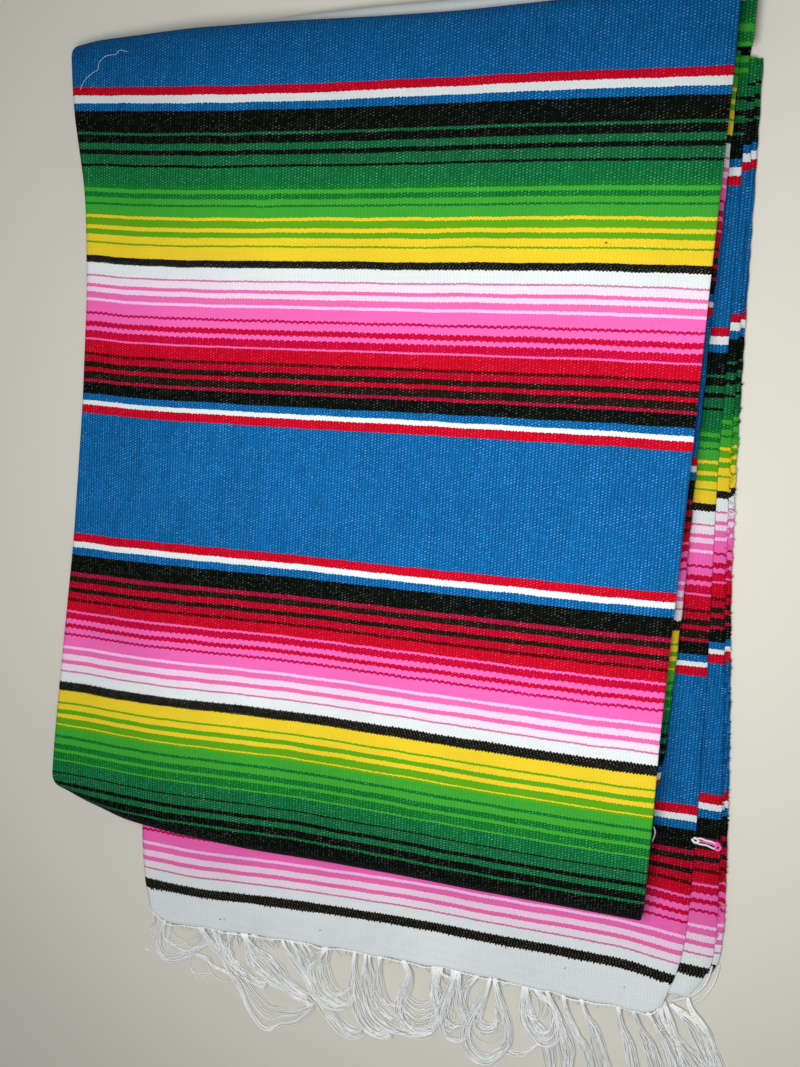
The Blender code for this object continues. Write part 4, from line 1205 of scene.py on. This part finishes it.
# A stray thread on the top, near its back left corner (x, y).
STRAY_THREAD = (
    (-224.4, 260.6), (-221.8, 265.7), (-216.7, 270.1), (-212.4, 272.2), (-211.6, 276.6),
    (-206.6, 280.1), (-199.7, 280.7), (-196.3, 282.8), (-190.3, 281.4))


def top_surface(x, y):
    """Height of the top panel's upper face away from its folds."""
    return STACK_TOP - sag(x) - droop(y)


def back_corner(x, y):
    """How far the top has turned down towards its side fold and its back fold."""
    side_in = np.clip(side("top_left", y) + SIDE_R - x, 0, SIDE_R)
    back_in = np.clip(y - (cross("back_edge", x) - BACK_R), 0, BACK_R)
    return (SIDE_R - np.sqrt(SIDE_R ** 2 - side_in ** 2)
            + BACK_R - np.sqrt(BACK_R ** 2 - back_in ** 2))


# Where weft loops stand out from a long edge: its column, height of its middle,
# loops, reach, place beside it and the range of Y.
LOOPED_EDGES = (
    ("second_right", 6.0, 300, 3.2, 8.0, -238.0, 150.0),
    ("third_right", 3.8, 200, 2.2, 10.0, -238.0, 100.0),
)


def edge_loops():
    """Small loops of weft along the frayed edges: half turns that leave the edge
    and come back a little further on, each in the colour of its stripe."""
    random = np.random.RandomState(11)
    for number, (column, z, count, reach, rise, start, end) in enumerate(LOOPED_EDGES):
        y = random.uniform(start, end, (count, 1))
        out = reach * random.uniform(0.3, 1.0, (count, 1)) ** 1.5 + 0.3
        long = random.uniform(0.6, 2.4, (count, 1))
        t = np.linspace(0, 1, 9)
        run = y + long * (t - 0.5) + random.normal(0, 0.5, (count, 1)) * np.sin(np.pi * t)
        x = lower(column, y) - 0.5 + out * np.sin(np.pi * t) ** 0.8
        high = z + random.uniform(-0.8, 1.6, (count, 1)) * np.sin(np.pi * t)
        paths = stacked(x, run, high)
        stripe = end_stripes(x[:, 0], y[:, 0], rise)
        piece = yarn_piece(f"edge_loops_{number + 1}", paths, 0.30, 4, CLOTH, stripe)


def loose_ends():
    for yarn in sorted({row[0] for row in LOOSE_ENDS}):
        material = Nodes("loose_" + yarn).dress({
            "Base Color": (*YARN[yarn], 1), "Roughness": 0.8, "Specular IOR Level": 0.1})
        rows = [row for row in LOOSE_ENDS if row[0] == yarn]
        paths = np.array([smooth_curve(knots, 14) for _, _, knots in rows])
        wide = np.array([radius for _, radius, _ in rows])[:, None, None, None]
        yarn_piece("loose_" + yarn, paths, wide, 6, material)
    flat = smooth_curve(STRAY_THREAD, 60)
    z = top_surface(*flat.T) - back_corner(*flat.T) + 0.25
    path = np.concatenate([flat, z[:, None]], axis=1)
    piece = yarn_piece("stray_thread", path[None], 0.09, 4)


# --- floor, light and camera -------------------------------------------------
FLOOR_HALF, FLOOR_DROP = 4.0, 0.0002    # metres


def floor():
    material = Nodes("floor").dress({"Base Color": (0.68, 0.665, 0.59, 1), "Roughness": 0.9})
    mesh = bpy.data.meshes.new("floor")
    corners = ((-1, -1), (1, -1), (1, 1), (-1, 1))
    mesh.from_pydata([(x * FLOOR_HALF, y * FLOOR_HALF, 0) for x, y in corners],
                     [], [(0, 1, 2, 3)])
    mesh.materials.append(material)
    piece = show("floor", mesh)
    piece.location.z = -FLOOR_DROP


LAMP_PLACE, LAMP_WIDE, LAMP_WATTS = (0.09, 0.05, 0.60), 0.22, 3.6   # it faces down
STUDIO_LIGHT = 0.26


def lights():
    lamp = bpy.data.lights.new("key", "AREA")
    lamp.shape, lamp.size, lamp.energy = "DISK", LAMP_WIDE, LAMP_WATTS
    lamp.color = (1.0, 0.99, 0.97)
    show("key", lamp).location = LAMP_PLACE
    world = bpy.data.worlds.new("studio")
    world.use_nodes = True
    plug(world.node_tree.nodes["Background"],
         {"Color": (0.95, 0.97, 1.0, 1), "Strength": STUDIO_LIGHT})
    bpy.context.scene.world = world
    bpy.context.scene.view_settings.view_transform = "Standard"


# The camera: its place in the cloth's own frame, the directions of the cloth's X
# and Y as it sees them (right, up, towards it), and its lens.
CAMERA_PLACE = (144.97, 74.29, 609.46)
SEEN_X, SEEN_Y = (4000.0, -361.0, 1000.0), (472.0, 8000.0, 1000.0)
LENS_SHARE = 1000.0 / 1067.0        # focal length over the view's height
SENSOR = 36.0


def camera():
    x, y = (np.array(v) / np.linalg.norm(v) for v in (SEEN_X, SEEN_Y))
    z = np.cross(x, y)
    z /= np.linalg.norm(z)
    y = np.cross(z, x)
    lens = bpy.data.cameras.new("camera")
    lens.sensor_fit = "VERTICAL"
    lens.sensor_height = SENSOR
    lens.lens = SENSOR * LENS_SHARE
    lens.clip_start = 0.01
    turned = np.eye(4)
    turned[:3, :3] = x, y, z
    turned[:3, 3] = put(CAMERA_PLACE)
    thing = show("camera", lens)
    thing.matrix_world = turned.T.tolist()
    bpy.context.scene.camera = thing


# --- the whole ---------------------------------------------------------------
def plies():
    """Every ply, with the node that it stands for."""
    cloth("top_panel_cloth", top_grid, "top_panel", flat=(0.402, 1.09),
          rests_on=["lower_panel_cloth", "turned_panel_cloth"])
    cloth("turned_panel_cloth", turned_grid, "turned_panel", flat=(0.021, 0.479),
          rests_on=["top_panel_cloth"])
    cloth("lower_panel_cloth", lower_grid, "lower_panel", flat=(0.73, 0.56),
          rests_on=["second_end_cloth"], with_pieces=["hem_yarns", "hem_twining"])
    for name, node, *layer in (
            ("second_end_cloth", "second_end_layer", "second_right", 2 * PITCH, SECOND_INSET),
            ("third_end_cloth", "third_end_layer", "third_right", PITCH, THIRD_INSET)):
        cloth(name, partial(end_layer_grid, *layer), node, flat=(0.37, 0.55),
              rests_on=["lower_panel_cloth"])
    cloth("back_fold_cloth", back_fold_grid, "back_fold", flat=(0.385, 0.072),
          rests_on=["lower_panel_cloth"])
    cloth("tucked_hem", tucked_hem_grid, depths=(HEM_THICK + HEM_GAP, HEM_GAP),
          flat=(0.290, 0.015), rests_on=["back_fold_cloth"])
    for number, node in enumerate(("inner_layers", None, None)):
        cloth(f"inner_ply_{number + 1}", partial(inner_ply_grid, number), node,
              flat=(RIBBON_WIDE * MM, 1.04), rests_on=["turned_panel_cloth"])
    cloth("tucked_end", tucked_end_grid, depths=(PLY, 0.0),
          flat=(RIBBON_WIDE * MM, 0.42), rests_on=["inner_ply_3"])
    for number, fold in enumerate(LEFT_FOLDS):
        cloth(f"left_fold_{number + 1}", partial(left_fold_grid, *fold),
              depths=(0.0, PLY * LEFT_THIN), flat=(0.026, 0.447), rests_on=["top_panel_cloth"])


fringes()
hem_twining()
plies()
edge_loops()
loose_ends()
floor()
lights()
camera()
